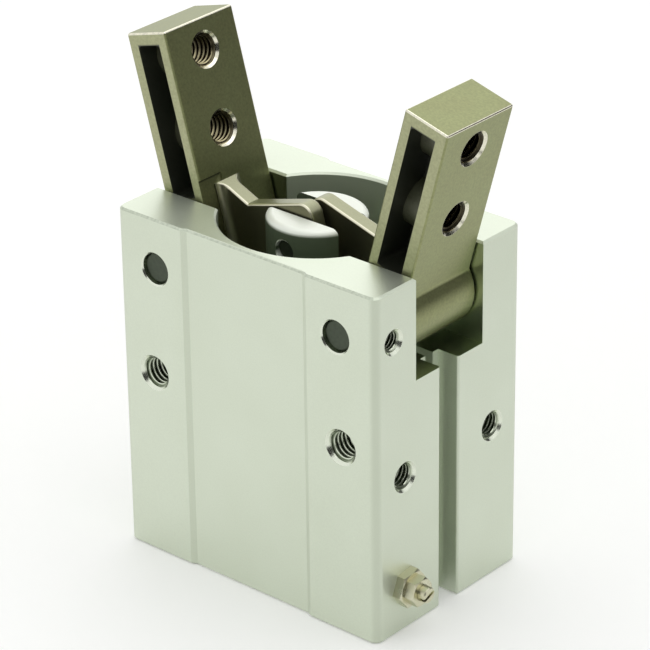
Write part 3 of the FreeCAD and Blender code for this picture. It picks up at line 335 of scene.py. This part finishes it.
def painted_step_shade(tree, spot):
    """How much painted shade the floor of the shallow step in the finger's inner face gets: most along its
    upper end.
    """
    parts = node(tree, "ShaderNodeSeparateXYZ", {"Vector": spot}).outputs
    sunk = node(tree, "ShaderNodeMath", {0: parts["X"], 1: RELIEF_FLOOR, 2: RELIEF_MARGIN},
                operation="COMPARE")
    steep = node(tree, "ShaderNodeMath", {0: facing(tree)["X"]}, operation="ABSOLUTE")
    flat = node(tree, "ShaderNodeMath", {0: steep, 1: RELIEF_STRAIGHT}, operation="GREATER_THAN")
    step = node(tree, "ShaderNodeMath", {0: sunk, 1: flat}, operation="MULTIPLY")
    # Painted shade on the step's floor: faint lower down, deepest along its upper end
    oiled = node(tree, "ShaderNodeMapRange", {
        "Value": parts["Z"], "From Min": RELIEF_SHADE[0], "From Max": RELIEF_SHADE[1], "To Min": 0.25,
        "To Max": 0.85})
    return node(tree, "ShaderNodeMath", {0: step, 1: oiled}, operation="MULTIPLY")


def pale_mouths_and_highlit_rounds(tree, spot, from_tap):
    """Where the finger is pale: the machined mouths of its holes, and the rounds along its top, which carry
    a painted highlight.
    """
    mouth = node(tree, "ShaderNodeMath", {0: from_tap, 1: FINGER_THREAD / 2 + HOLE_CHAMFER + BRIGHT_MARGIN},
                 operation="LESS_THAN")
    along = node(tree, "ShaderNodeSeparateXYZ", {"Vector": spot}).outputs["Z"]
    painted_round_highlight = node(tree, "ShaderNodeMath", {
        0: along, 1: FINGER_TOP - FINGER_ROUND / 2, 2: FINGER_ROUND / 2 - BRIGHT_MARGIN},
        operation="COMPARE")
    return node(tree, "ShaderNodeMath", {0: painted_round_highlight, 1: mouth}, operation="MAXIMUM")


def blasted_steel():
    """Cast steel, bead blasted and oiled: a warm, dull olive grey with an even grain under a film of oil.

    The flat rims at the front and back are machined and paler, and the mouths of the tapped holes are
    machined, paler and smoother. The rounds along the top are smoother and carry a painted highlight. The
    side pockets are painted dark as painted shade, lifted a little off their bosses, and painted shade
    darkens the shallow step in the inner face.
    """
    made, tree, place = finish("blasted_cast_steel")
    spot = finger_place(tree, place)
    from_tap = from_finger_taps(tree, spot)
    bright = pale_mouths_and_highlit_rounds(tree, spot, from_tap)
    grit = node(tree, "ShaderNodeTexNoise", {"Vector": place, "Scale": per_mm(0.45), "Detail": 3})
    stain = node(tree, "ShaderNodeTexNoise", {"Vector": place, "Scale": per_mm(7), "Detail": 2})
    blasted = node(tree, "ShaderNodeMix", {"Factor": stain, "A": linear("#959B6E"), "B": linear("#8F9167")},
                   data_type="RGBA")
    sideways = node(tree, "ShaderNodeMath", {0: facing(tree)["Y"]}, operation="ABSOLUTE")
    rim = node(tree, "ShaderNodeMapRange", {"Value": sideways, "From Min": 0.9, "From Max": 0.99})
    rimmed = node(tree, "ShaderNodeMix", {"Factor": rim, "A": blasted, "B": linear("#A8AA86")},
                  data_type="RGBA")
    # Painted shade: the side pockets get a dark colour for the shade deep in them, lifted a little off the
    # bosses; bare is what lies outside that painted shade, and it also sets the metallic
    boss = node(tree, "ShaderNodeMath", {0: from_tap, 1: FINGER_BOSS}, operation="LESS_THAN")
    boss_lift = node(tree, "ShaderNodeMath", {0: boss, 1: BOSS_SHADE_LIFT}, operation="MULTIPLY")
    bare = node(tree, "ShaderNodeMath", {0: outside_pockets(tree, spot), 1: boss_lift}, operation="MAXIMUM")
    pocket_shaded = node(tree, "ShaderNodeMix", {"Factor": bare, "A": linear("#31342A"), "B": rimmed},
                   data_type="RGBA")
    # Painted shade on the floor of the shallow step in the inner face
    stepped = node(tree, "ShaderNodeMix", {
        "Factor": painted_step_shade(tree, spot), "A": pocket_shaded, "B": linear("#3A3826")}, data_type="RGBA")
    # The machined mouths of the holes and the painted highlight on the rounds along the top share this pale
    # colour
    tone = node(tree, "ShaderNodeMix", {"Factor": bright, "A": stepped, "B": linear("#E9E6D2")},
                data_type="RGBA")
    speckle = node(tree, "ShaderNodeMapRange", {
        "Value": grit, "From Min": 0.3, "From Max": 0.7, "To Min": 0.84, "To Max": 1.06})
    colour = node(tree, "ShaderNodeVectorMath", {0: tone, 1: speckle}, operation="MULTIPLY")
    dull = node(tree, "ShaderNodeMapRange", {"Value": grit, "To Min": 0.36, "To Max": 0.46})
    rough = node(tree, "ShaderNodeMix", {"Factor": bright, "A": dull, "B": 0.2})
    metal = node(tree, "ShaderNodeMapRange", {"Value": bare, "To Min": 0.3, "To Max": 1})
    bump = node(tree, "ShaderNodeBump", {"Height": grit, "Strength": 0.16, "Distance": 0.04 * MM})
    shader = node(tree, "ShaderNodeBsdfPrincipled", {
        "Base Color": colour, "Metallic": metal, "Roughness": rough, "Normal": bump, "Coat Weight": 0.2,
        "Coat Roughness": 0.3})
    node(tree, "ShaderNodeOutputMaterial", {"Surface": shader})
    return made


def milled_steel():
    """Cast steel, milled: a warm pale grey with fine cutter marks, a painted highlight on the rounds that
    face up, and painted shade on the flanks.
    """
    made, tree, place = finish("milled_cast_steel")
    # Cutter marks of 0.1 mm are drawn 0.3 mm wide so that they show
    marks = node(tree, "ShaderNodeTexNoise", {"Vector": place, "Scale": per_mm(0.3), "Detail": 2})
    cut = node(tree, "ShaderNodeMix", {"Factor": marks, "A": linear("#96977B"), "B": linear("#A8A98D")},
               data_type="RGBA")
    way = facing(tree)
    sideways = node(tree, "ShaderNodeMath", {0: way["Y"]}, operation="ABSOLUTE")
    flank = node(tree, "ShaderNodeMapRange", {"Value": sideways, "From Min": 0.93, "From Max": 0.99})
    turned = node(tree, "ShaderNodeMapRange", {"Value": sideways, "From Min": 0.15, "From Max": 0.4})
    upwards = node(tree, "ShaderNodeMapRange", {"Value": way["Z"], "From Min": 0.1, "From Max": 0.4})
    # Painted highlight: the rounds that face up and sideways get a pale colour
    rubbed = node(tree, "ShaderNodeMath", {0: turned, 1: upwards}, operation="MULTIPLY")
    edged = node(tree, "ShaderNodeMix", {"Factor": rubbed, "A": cut, "B": linear("#E2DFC8")},
                 data_type="RGBA")
    # Painted shade: the flanks, and the sideways rounds that don't face up, get a dark colour
    root = node(tree, "ShaderNodeMath", {0: turned, 1: rubbed}, operation="SUBTRACT")
    side = node(tree, "ShaderNodeMath", {0: flank, 1: root}, operation="MAXIMUM")
    tone = node(tree, "ShaderNodeMix", {"Factor": side, "A": edged, "B": linear("#77755E")},
                data_type="RGBA")
    rough = node(tree, "ShaderNodeMapRange", {"Value": marks, "To Min": 0.28, "To Max": 0.38})
    bump = node(tree, "ShaderNodeBump", {"Height": marks, "Strength": 0.1, "Distance": 0.03 * MM})
    shader = node(tree, "ShaderNodeBsdfPrincipled", {
        "Base Color": tone, "Metallic": 0.9, "Roughness": rough, "Normal": bump})
    node(tree, "ShaderNodeOutputMaterial", {"Surface": shader})
    return made


def turned_aluminium():
    """Aluminium, turned and anodised: pale satin ends, and the sides that slide painted dark as painted
    shade, for the shade in the well round them.

    The lathe leaves faint rings round the piston's axis.
    """
    made, tree, place = finish("turned_anodised_aluminium")
    # Feed marks of 0.1 mm are drawn 0.4 mm apart so that they show
    rings = node(tree, "ShaderNodeTexWave", {
        "Vector": place, "Scale": per_mm(0.4) / math.tau, "Distortion": 0.6, "Detail": 2, "Detail Scale": 4},
        wave_type="RINGS", rings_direction="Z").outputs["Fac"]
    cloud = node(tree, "ShaderNodeTexNoise", {"Vector": place, "Scale": per_mm(6), "Detail": 3})
    faced = node(tree, "ShaderNodeMix", {"Factor": cloud, "A": linear("#F0F5E8"), "B": linear("#F7FAF1")},
                 data_type="RGBA")
    along = node(tree, "ShaderNodeMath", {0: facing(tree)["Z"]}, operation="ABSOLUTE")
    end = node(tree, "ShaderNodeMapRange", {"Value": along, "From Min": 0.1, "From Max": 0.5})
    # Painted shade: the sides get a dark colour, and the ends that face along the axis keep the pale one
    tone = node(tree, "ShaderNodeMix", {"Factor": end, "A": linear("#56624D"), "B": faced}, data_type="RGBA")
    rough = node(tree, "ShaderNodeMapRange", {"Value": rings, "To Min": 0.4, "To Max": 0.46})
    bump = node(tree, "ShaderNodeBump", {"Height": rings, "Strength": 0.04, "Distance": 0.02 * MM})
    shader = node(tree, "ShaderNodeBsdfPrincipled", {
        "Base Color": tone, "Metallic": 0.25, "Roughness": rough, "Normal": bump})
    node(tree, "ShaderNodeOutputMaterial", {"Surface": shader})
    return made


def blackened_steel():
    """Hardened steel, ground and blackened: dark grey with a soft sheen and fine pale rubbing marks."""
    made, tree, place = finish("blackened_ground_steel")
    rubbed = node(tree, "ShaderNodeTexNoise", {"Vector": place, "Scale": per_mm(0.8), "Detail": 4})
    tone = node(tree, "ShaderNodeMix", {"Factor": rubbed, "A": linear("#3E443A"), "B": linear("#545C4E")},
                data_type="RGBA")
    rough = node(tree, "ShaderNodeMapRange", {"Value": rubbed, "To Min": 0.32, "To Max": 0.5})
    bump = node(tree, "ShaderNodeBump", {"Height": rubbed, "Strength": 0.08, "Distance": 0.02 * MM})
    shader = node(tree, "ShaderNodeBsdfPrincipled", {
        "Base Color": tone, "Metallic": 0.9, "Roughness": rough, "Normal": bump})
    node(tree, "ShaderNodeOutputMaterial", {"Surface": shader})
    return made


def spring_steel():
    """Spring steel, blanked and phosphated: nearly black, matt, with a fine crystalline grain."""
    made, tree, place = finish("phosphated_spring_steel")
    crystals = node(tree, "ShaderNodeTexVoronoi", {"Vector": place, "Scale": per_mm(0.35)})
    tone = node(tree, "ShaderNodeMix", {"Factor": crystals, "A": linear("#34363A"), "B": linear("#56585A")},
                data_type="RGBA")
    bump = node(tree, "ShaderNodeBump", {"Height": crystals, "Strength": 0.15, "Distance": 0.03 * MM})
    shader = node(tree, "ShaderNodeBsdfPrincipled", {
        "Base Color": tone, "Metallic": 0.7, "Roughness": 0.55, "Normal": bump})
    node(tree, "ShaderNodeOutputMaterial", {"Surface": shader})
    return made


def sintered_bronze():
    """Bronze, sintered and oiled: dull brown gold with small dark pores."""
    made, tree, place = finish("sintered_oiled_bronze")
    pores = node(tree, "ShaderNodeTexVoronoi", {"Vector": place, "Scale": per_mm(0.4)})
    open_pores = node(tree, "ShaderNodeMapRange", {"Value": pores, "From Min": 0.1, "From Max": 0.35})
    tone = node(tree, "ShaderNodeMix", {
        "Factor": open_pores, "A": linear("#4E3A22"), "B": linear("#A8814E")}, data_type="RGBA")
    bump = node(tree, "ShaderNodeBump", {"Height": open_pores, "Strength": 0.2, "Distance": 0.03 * MM})
    shader = node(tree, "ShaderNodeBsdfPrincipled", {
        "Base Color": tone, "Metallic": 1, "Roughness": 0.42, "Normal": bump})
    node(tree, "ShaderNodeOutputMaterial", {"Surface": shader})
    return made


def nickel_plated_brass():
    """Brass, turned from bar and nickel plated: bright cream grey, yellower where the plating is thin."""
    made, tree, place = finish("nickel_plated_brass")
    thin = node(tree, "ShaderNodeTexNoise", {"Vector": place, "Scale": per_mm(2.5), "Detail": 2})
    tone = node(tree, "ShaderNodeMix", {"Factor": thin, "A": linear("#D6D6C2"), "B": linear("#CBC7A4")},
                data_type="RGBA")
    rough = node(tree, "ShaderNodeMapRange", {"Value": thin, "To Min": 0.24, "To Max": 0.34})
    bump = node(tree, "ShaderNodeBump", {"Height": thin, "Strength": 0.05, "Distance": 0.03 * MM})
    shader = node(tree, "ShaderNodeBsdfPrincipled", {
        "Base Color": tone, "Metallic": 1, "Roughness": rough, "Normal": bump})
    node(tree, "ShaderNodeOutputMaterial", {"Surface": shader})
    return made


def nitrile_rubber():
    """Nitrile rubber, moulded and greased: black with a soft wet sheen."""
    made, tree, place = finish("moulded_nitrile_rubber")
    grease = node(tree, "ShaderNodeTexNoise", {"Vector": place, "Scale": per_mm(2), "Detail": 3})
    tone = node(tree, "ShaderNodeMix", {"Factor": grease, "A": linear("#141414"), "B": linear("#232323")},
                data_type="RGBA")
    rough = node(tree, "ShaderNodeMapRange", {"Value": grease, "To Min": 0.3, "To Max": 0.6})
    shader = node(tree, "ShaderNodeBsdfPrincipled", {"Base Color": tone, "Roughness": rough, "IOR": 1.52})
    node(tree, "ShaderNodeOutputMaterial", {"Surface": shader})
    return made


def urethane_rubber():
    """Urethane rubber, cast: honey brown, a little glossy, faintly cloudy."""
    made, tree, place = finish("cast_urethane_rubber")
    cloud = node(tree, "ShaderNodeTexNoise", {"Vector": place, "Scale": per_mm(3), "Detail": 3})
    tone = node(tree, "ShaderNodeMix", {"Factor": cloud, "A": linear("#7A5426"), "B": linear("#95692F")},
                data_type="RGBA")
    rough = node(tree, "ShaderNodeMapRange", {"Value": cloud, "To Min": 0.35, "To Max": 0.5})
    shader = node(tree, "ShaderNodeBsdfPrincipled", {"Base Color": tone, "Roughness": rough, "IOR": 1.5})
    node(tree, "ShaderNodeOutputMaterial", {"Surface": shader})
    return made


def bearing_plastic():
    """Acetal with a dry lubricant, machined: off-white, waxy, with fine flecks of the lubricant."""
    made, tree, place = finish("machined_bearing_acetal")
    flecks = node(tree, "ShaderNodeTexVoronoi", {"Vector": place, "Scale": per_mm(0.8)})
    shown = node(tree, "ShaderNodeMapRange", {"Value": flecks, "From Min": 0.05, "From Max": 0.25})
    tone = node(tree, "ShaderNodeMix", {"Factor": shown, "A": linear("#A79F90"), "B": linear("#DAD5C8")},
                data_type="RGBA")
    shader = node(tree, "ShaderNodeBsdfPrincipled", {"Base Color": tone, "Roughness": 0.45, "IOR": 1.48})
    node(tree, "ShaderNodeOutputMaterial", {"Surface": shader})
    return made


def bonded_magnet():
    """Ferrite powder bonded in plastic, moulded: charcoal grey with a fine sparkle of the powder."""
    made, tree, place = finish("moulded_bonded_ferrite")
    powder = node(tree, "ShaderNodeTexNoise", {"Vector": place, "Scale": per_mm(0.4), "Detail": 4})
    tone = node(tree, "ShaderNodeMix", {"Factor": powder, "A": linear("#2A2B2D"), "B": linear("#4A4B4E")},
                data_type="RGBA")
    rough = node(tree, "ShaderNodeMapRange", {"Value": powder, "To Min": 0.4, "To Max": 0.65})
    shader = node(tree, "ShaderNodeBsdfPrincipled", {"Base Color": tone, "Roughness": rough, "IOR": 1.6})
    node(tree, "ShaderNodeOutputMaterial", {"Surface": shader})
    return made


def cut_thread_metal(name, crest, root, shade_deepest, shade_ends):
    """Metal as the tap left it: pale crests, and roots painted dark as painted shade in the grooves of the
    thread.

    Painted shade also darkens the crests where they face down. The last two arguments are the Z of the way
    that they face at which that shade is deepest and at which it ends.
    """
    made, tree, place = finish(name)
    height = node(tree, "ShaderNodeAttribute", attribute_name=THREAD_HEIGHT).outputs["Fac"]
    # Noise that makes the edge between the pale crests and the painted shade in the roots uneven
    oil = node(tree, "ShaderNodeTexNoise", {"Vector": place, "Scale": per_mm(1.2), "Detail": 3})
    crest_level = node(tree, "ShaderNodeMath", {0: oil, 1: 0.3, 2: height}, operation="MULTIPLY_ADD")
    rubbed = node(tree, "ShaderNodeMapRange", {"Value": crest_level, "From Min": 0.7, "From Max": 1.1})
    # Painted shade on crests that face down
    painted_down_shade = node(tree, "ShaderNodeMapRange", {
        "Value": facing(tree)["Z"], "From Min": shade_deepest, "From Max": shade_ends, "To Min": 0.1, "To Max": 1})
    shown = node(tree, "ShaderNodeMath", {0: rubbed, 1: painted_down_shade}, operation="MULTIPLY")
    # Roots painted dark as painted shade, crests pale where they are lit
    tone = node(tree, "ShaderNodeMix", {"Factor": shown, "A": linear(root), "B": linear(crest)},
                data_type="RGBA")
    rough = node(tree, "ShaderNodeMapRange", {"Value": rubbed, "To Min": 0.4, "To Max": 0.22})
    shader = node(tree, "ShaderNodeBsdfPrincipled", {"Base Color": tone, "Metallic": 1, "Roughness": rough})
    node(tree, "ShaderNodeOutputMaterial", {"Surface": shader})
    return made


def thread_profile(radius, pitch):
    """One pitch of an inner thread from root to root, as (radius, height), with corners at sixteenths."""
    crest = radius - THREAD_DEPTH * pitch
    return [(radius, 0), (radius, pitch / 16), (crest, pitch * 6 / 16), (crest, pitch * 10 / 16),
            (radius, pitch * 15 / 16), (radius, pitch)]


def from_mouth(vert, depth, through):
    """How deep a point of a thread lies below its mouth, or below the nearer one in a hole right through."""
    return min(vert.co.z, depth - vert.co.z) if through else vert.co.z


def thread(size, depth, through=False):
    """Lining of a tapped hole that goes down from its mouth at the origin.

    One pitch of the thread is spun along its helix, cut off square at both ends, opened to the
    chamfer of the mouth, and closed behind by a plain wall.
    """
    pitch = COARSE_PITCH[size]
    wall = size / 2
    root = wall - THREAD_CLEARANCE
    ends = (HOLE_CHAMFER, depth - HOLE_CHAMFER if through else depth)
    turns = math.ceil(depth / pitch) + THREAD_SPARE
    mesh = bmesh.new()
    profile = [mesh.verts.new((radius, 0, height - THREAD_LEAD * pitch))
               for radius, height in thread_profile(root, pitch)]
    runs = [mesh.edges.new(pair) for pair in zip(profile, profile[1:])]
    bmesh.ops.subdivide_edges(mesh, edges=runs, cuts=1)
    bmesh.ops.spin(mesh, geom=mesh.verts[:] + mesh.edges[:], cent=(0, 0, 0), axis=(0, 0, 1),
                   dvec=(0, 0, pitch / THREAD_STEPS), angle=math.tau * turns, steps=THREAD_STEPS * turns)
    bmesh.ops.remove_doubles(mesh, verts=mesh.verts, dist=1e-4)
    for height, outwards in zip(ends, (-1, 1)):
        bmesh.ops.bisect_plane(mesh, geom=mesh.verts[:] + mesh.edges[:] + mesh.faces[:], dist=1e-6,
                               plane_co=(0, 0, height), plane_no=(0, 0, outwards), clear_outer=True)
    for vert in mesh.verts:
        least = min(root, wall + HOLE_CHAMFER - from_mouth(vert, depth, through))
        vert.co.xy *= max(1, least / vert.co.xy.length)
    rims = [edge for edge in mesh.edges if edge.is_boundary]
    grown = bmesh.ops.extrude_edge_only(mesh, edges=rims)["geom"]
    for vert in [part for part in grown if isinstance(part, bmesh.types.BMVert)]:
        vert.co.xy *= wall / vert.co.xy.length
    bmesh.ops.bridge_loops(mesh, edges=[part for part in grown if isinstance(part, bmesh.types.BMEdge)])
    bmesh.ops.recalc_face_normals(mesh, faces=mesh.faces)
    height = mesh.verts.layers.float.new(THREAD_HEIGHT)
    for vert in mesh.verts:
        above_root = (wall - vert.co.xy.length) / (THREAD_DEPTH * pitch)
        vert[height] = max(above_root, 1 - (from_mouth(vert, depth, through) - HOLE_CHAMFER) / pitch)
    bmesh.ops.scale(mesh, vec=(MM, -MM, -MM), verts=mesh.verts)
    for face in mesh.faces:
        face.smooth = True
    lining = bpy.data.meshes.new("thread")
    mesh.to_mesh(lining)
    mesh.free()
    lining.set_sharp_from_angle(angle=math.radians(THREAD_SHARP))
    return lining


def line_holes(lining, body, metal, holes):
    """Put a copy of a thread into each hole: its name, its mouth and the way that its mouth faces."""
    for name, mouth, way in holes:
        turned = Vector(way).to_track_quat("Z", "Y").to_matrix().to_4x4()
        sleeve = lining.copy()
        sleeve.transform(Matrix.Translation(mouth) @ turned)
        sleeve.materials.append(metal)
        piece = bpy.data.objects.new(name, sleeve)
        bpy.context.scene.collection.objects.link(piece)
        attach(piece, body)


def body_threads(metal):
    """Threads in the body: mounting holes front and back, base holes, set screws and air ports."""
    mounting, base, screws, ports = [], [], [], []
    for side, x in (("left", -1), ("right", 1)):
        for face, y in (("front", -1), ("back", 1)):
            spot = Vector((x * SIDE_TAP[0], y * BODY_HALF_DEPTH, SIDE_TAP[1]))
            mounting.append((f"{side}_{face}_tap_thread", spot * MM, (0, y, 0)))
            spot = Vector((x * BASE_TAP[0], y * BASE_TAP[1], 0))
            base.append((f"{side}_{face}_base_thread", spot * MM, (0, 0, -1)))
        spot = Vector((x * BODY_HALF_WIDTH, *PIN_SCREW))
        screws.append((f"{side}_set_screw_thread", spot * MM, (x, 0, 0)))
    for face, y in (("front", -1), ("back", 1)):
        spot = Vector((BODY_HALF_WIDTH, y * PORT[0], PORT[1]))
        ports.append((f"{face}_port_thread", spot * MM, (1, 0, 0)))
    for (size, depth), holes in ((SIDE_THREAD, mounting), (BASE_THREAD, base), (SCREW_THREAD, screws),
                                 (PORT_THREAD, ports)):
        line_holes(thread(size, depth), "housing", metal, holes)


def finger_threads(metal):
    """Threads of the jaw holes, right through each finger from its outer face."""
    lining = thread(FINGER_THREAD, FINGER_WALL, through=True)
    lean = math.radians(FINGER_LEAN)
    for side, sign in (("left", -1), ("right", 1)):
        way = (sign * math.cos(lean), 0, -math.sin(lean))
        holes = []
        for level, height in zip(("lower", "upper"), FINGER_TAPS):
            mouth = finger_spot(FINGER_OUTER, height)
            holes.append((f"{side}_finger_{level}_thread", Vector((sign * mouth.x, 0, mouth.z)), way))
        line_holes(lining, f"{side}_lever", metal, holes)


def dress_solids():
    """Give every solid of the frame the finish of its material slot, and the milled arms their own."""
    finishes = {
        "anodised_aluminium": blasted_anodised_aluminium(),
        "bead_blasted_steel": blasted_steel(),
        "satin_aluminium": turned_aluminium(),
        "blackened_steel": blackened_steel(),
        "spring_steel": spring_steel(),
        "sintered_bronze": sintered_bronze(),
        "nickel_plated_brass": nickel_plated_brass(),
        "nitrile_rubber": nitrile_rubber(),
        "urethane_rubber": urethane_rubber(),
        "bearing_plastic": bearing_plastic(),
        "bonded_magnet": bonded_magnet(),
    }
    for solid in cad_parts.values():
        for place in solid.material_slots:
            place.material = finishes[place.material.name]
    arm_finish = milled_steel()
    for side in ("left", "right"):
        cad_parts[f"{side}_arm"].material_slots[0].material = arm_finish


def seen_directly(tree):
    """1 for what the camera sees, straight or in metal or glass, and 0 for light on its way to a surface."""
    path = node(tree, "ShaderNodeLightPath").outputs
    seen = node(tree, "ShaderNodeMath", {0: path["Is Camera Ray"], 1: path["Is Glossy Ray"]},
                operation="MAXIMUM")
    return node(tree, "ShaderNodeMath", {0: seen, 1: path["Is Transmission Ray"]}, operation="MAXIMUM")


def white_paper():
    """Studio paper: matt white with a faint fibre, lifted a little towards pure white for the eye."""
    made, tree, place = finish("white_studio_paper")
    fibre = node(tree, "ShaderNodeTexNoise", {"Vector": place, "Scale": per_mm(3), "Detail": 3})
    tone = node(tree, "ShaderNodeMix", {"Factor": fibre, "A": linear("#F7F8F6"), "B": linear("#FAFAF9")},
                data_type="RGBA")
    glow = node(tree, "ShaderNodeMapRange", {
        "Value": seen_directly(tree), "To Min": 0, "To Max": FLOOR_GLOW})
    shader = node(tree, "ShaderNodeBsdfPrincipled", {
        "Base Color": tone, "Roughness": 0.9, "Specular IOR Level": 0, "Emission Color": linear("#FFFFFF"),
        "Emission Strength": glow})
    node(tree, "ShaderNodeOutputMaterial", {"Surface": shader})
    return made


def black_paper():
    """Black card: matt, nearly black, with a faint weave."""
    made, tree, place = finish("black_card")
    weave = node(tree, "ShaderNodeTexNoise", {"Vector": place, "Scale": per_mm(4), "Detail": 2})
    tone = node(tree, "ShaderNodeMix", {"Factor": weave, "A": linear("#101210"), "B": linear("#1C1E1A")},
                data_type="RGBA")
    shader = node(tree, "ShaderNodeBsdfPrincipled", {"Base Color": tone, "Roughness": 0.9})
    node(tree, "ShaderNodeOutputMaterial", {"Surface": shader})
    return made


def sheet(name, size, place, paper):
    """A square sheet of the studio, with its place, and its size from the middle to an edge."""
    mesh = bmesh.new()
    bmesh.ops.create_grid(mesh, x_segments=1, y_segments=1, size=size, matrix=place)
    data = bpy.data.meshes.new(name)
    mesh.to_mesh(data)
    mesh.free()
    data.materials.append(paper)
    made = bpy.data.objects.new(name, data)
    bpy.context.scene.collection.objects.link(made)
    return made


def dark_card(name, towards, distance, height, paper, shades):
    """Upright card out of the picture, which the metal shows as its dark side.

    shades says if it takes light away from the object too.
    """
    upright = Vector(towards).to_track_quat("Z", "Y").to_matrix().to_4x4()
    spot = Vector(towards) * distance + Vector((0, 0, height))
    card = sheet(name, CARD_SIZE, Matrix.Translation(spot) @ upright, paper)
    card.visible_camera = False
    card.visible_diffuse = shades
    card.visible_shadow = shades


def soft_lamp(name, spot, target, size, power):
    """A square soft box that faces its target."""
    lamp = bpy.data.lights.new(name, "AREA")
    lamp.size = size
    lamp.energy = power
    box = bpy.data.objects.new(name, lamp)
    box.location = spot
    box.rotation_euler = (Vector(target) - Vector(spot)).to_track_quat("-Z", "Y").to_euler()
    bpy.context.scene.collection.objects.link(box)


def white_walls():
    """White surroundings, as bright to the eye and in the metal as they are on the floor."""
    world = bpy.data.worlds.new("white_studio")
    bpy.context.scene.world = world
    world.use_nodes = True
    tree = world.node_tree
    tree.nodes.clear()
    strength = node(tree, "ShaderNodeMapRange", {
        "Value": seen_directly(tree), "To Min": WALL_LIGHT, "To Max": 1.0})
    sky = node(tree, "ShaderNodeBackground", {"Color": linear("#FFFFFF"), "Strength": strength})
    node(tree, "ShaderNodeOutputWorld", {"Surface": sky})


def studio():
    """White floor that keeps the object's shadow, white walls, two soft boxes and two black cards.

    One card stands behind and to the right. The other stands by the camera, and only reflections show it.
    """
    sheet("studio_floor", FLOOR_SIZE, Matrix(), white_paper())
    card = black_paper()
    dark_card("black_card_behind", (0.74, 0.67, 0), 0.55, -0.2, card, True)
    dark_card("black_card_in_front", (0.656, -0.755, 0), 0.9, 0.2, card, False)
    white_walls()
    soft_lamp("overhead_soft_box", (0.1, 0.2, 1.2), (0, 0, 0.04), 1.2, 3.6)
    soft_lamp("window_soft_box", (-0.75, 0.85, 0.75), (0, 0, 0.06), 0.9, 1.3)


def camera():
    """The photograph's camera."""
    azimuth = math.radians(CAMERA_AZIMUTH)
    elevation = math.radians(CAMERA_ELEVATION)
    roll = math.radians(CAMERA_ROLL)
    back = Vector((math.sin(azimuth) * math.cos(elevation), -math.cos(azimuth) * math.cos(elevation),
                   math.sin(elevation)))
    level = Vector((math.cos(azimuth), math.sin(azimuth), 0))
    upright = back.cross(level)
    right = level * math.cos(roll) + upright * math.sin(roll)
    up = upright * math.cos(roll) - level * math.sin(roll)
    lens = bpy.data.cameras.new("camera")
    lens.lens = CAMERA_LENS
    lens.sensor_width = SENSOR_WIDTH
    eye = bpy.data.objects.new("camera", lens)
    eye.matrix_world = Matrix.Translation(CAMERA_SPOT) @ Matrix((right, up, back)).transposed().to_4x4()
    bpy.context.scene.collection.objects.link(eye)
    bpy.context.scene.camera = eye


camera()
dress_solids()
# Thread colours: pale crests, roots painted dark as painted shade, then the Z of the way a crest faces at
# which its painted shade is deepest and at which it ends
body_threads(cut_thread_metal("tapped_aluminium", "#E6EDD9", "#69745D", -0.9, 0.4))
finger_threads(cut_thread_metal("tapped_steel", "#D2C79F", "#1A160E", 0.15, 0.75))
studio()
bpy.context.scene.view_settings.view_transform = "Standard"
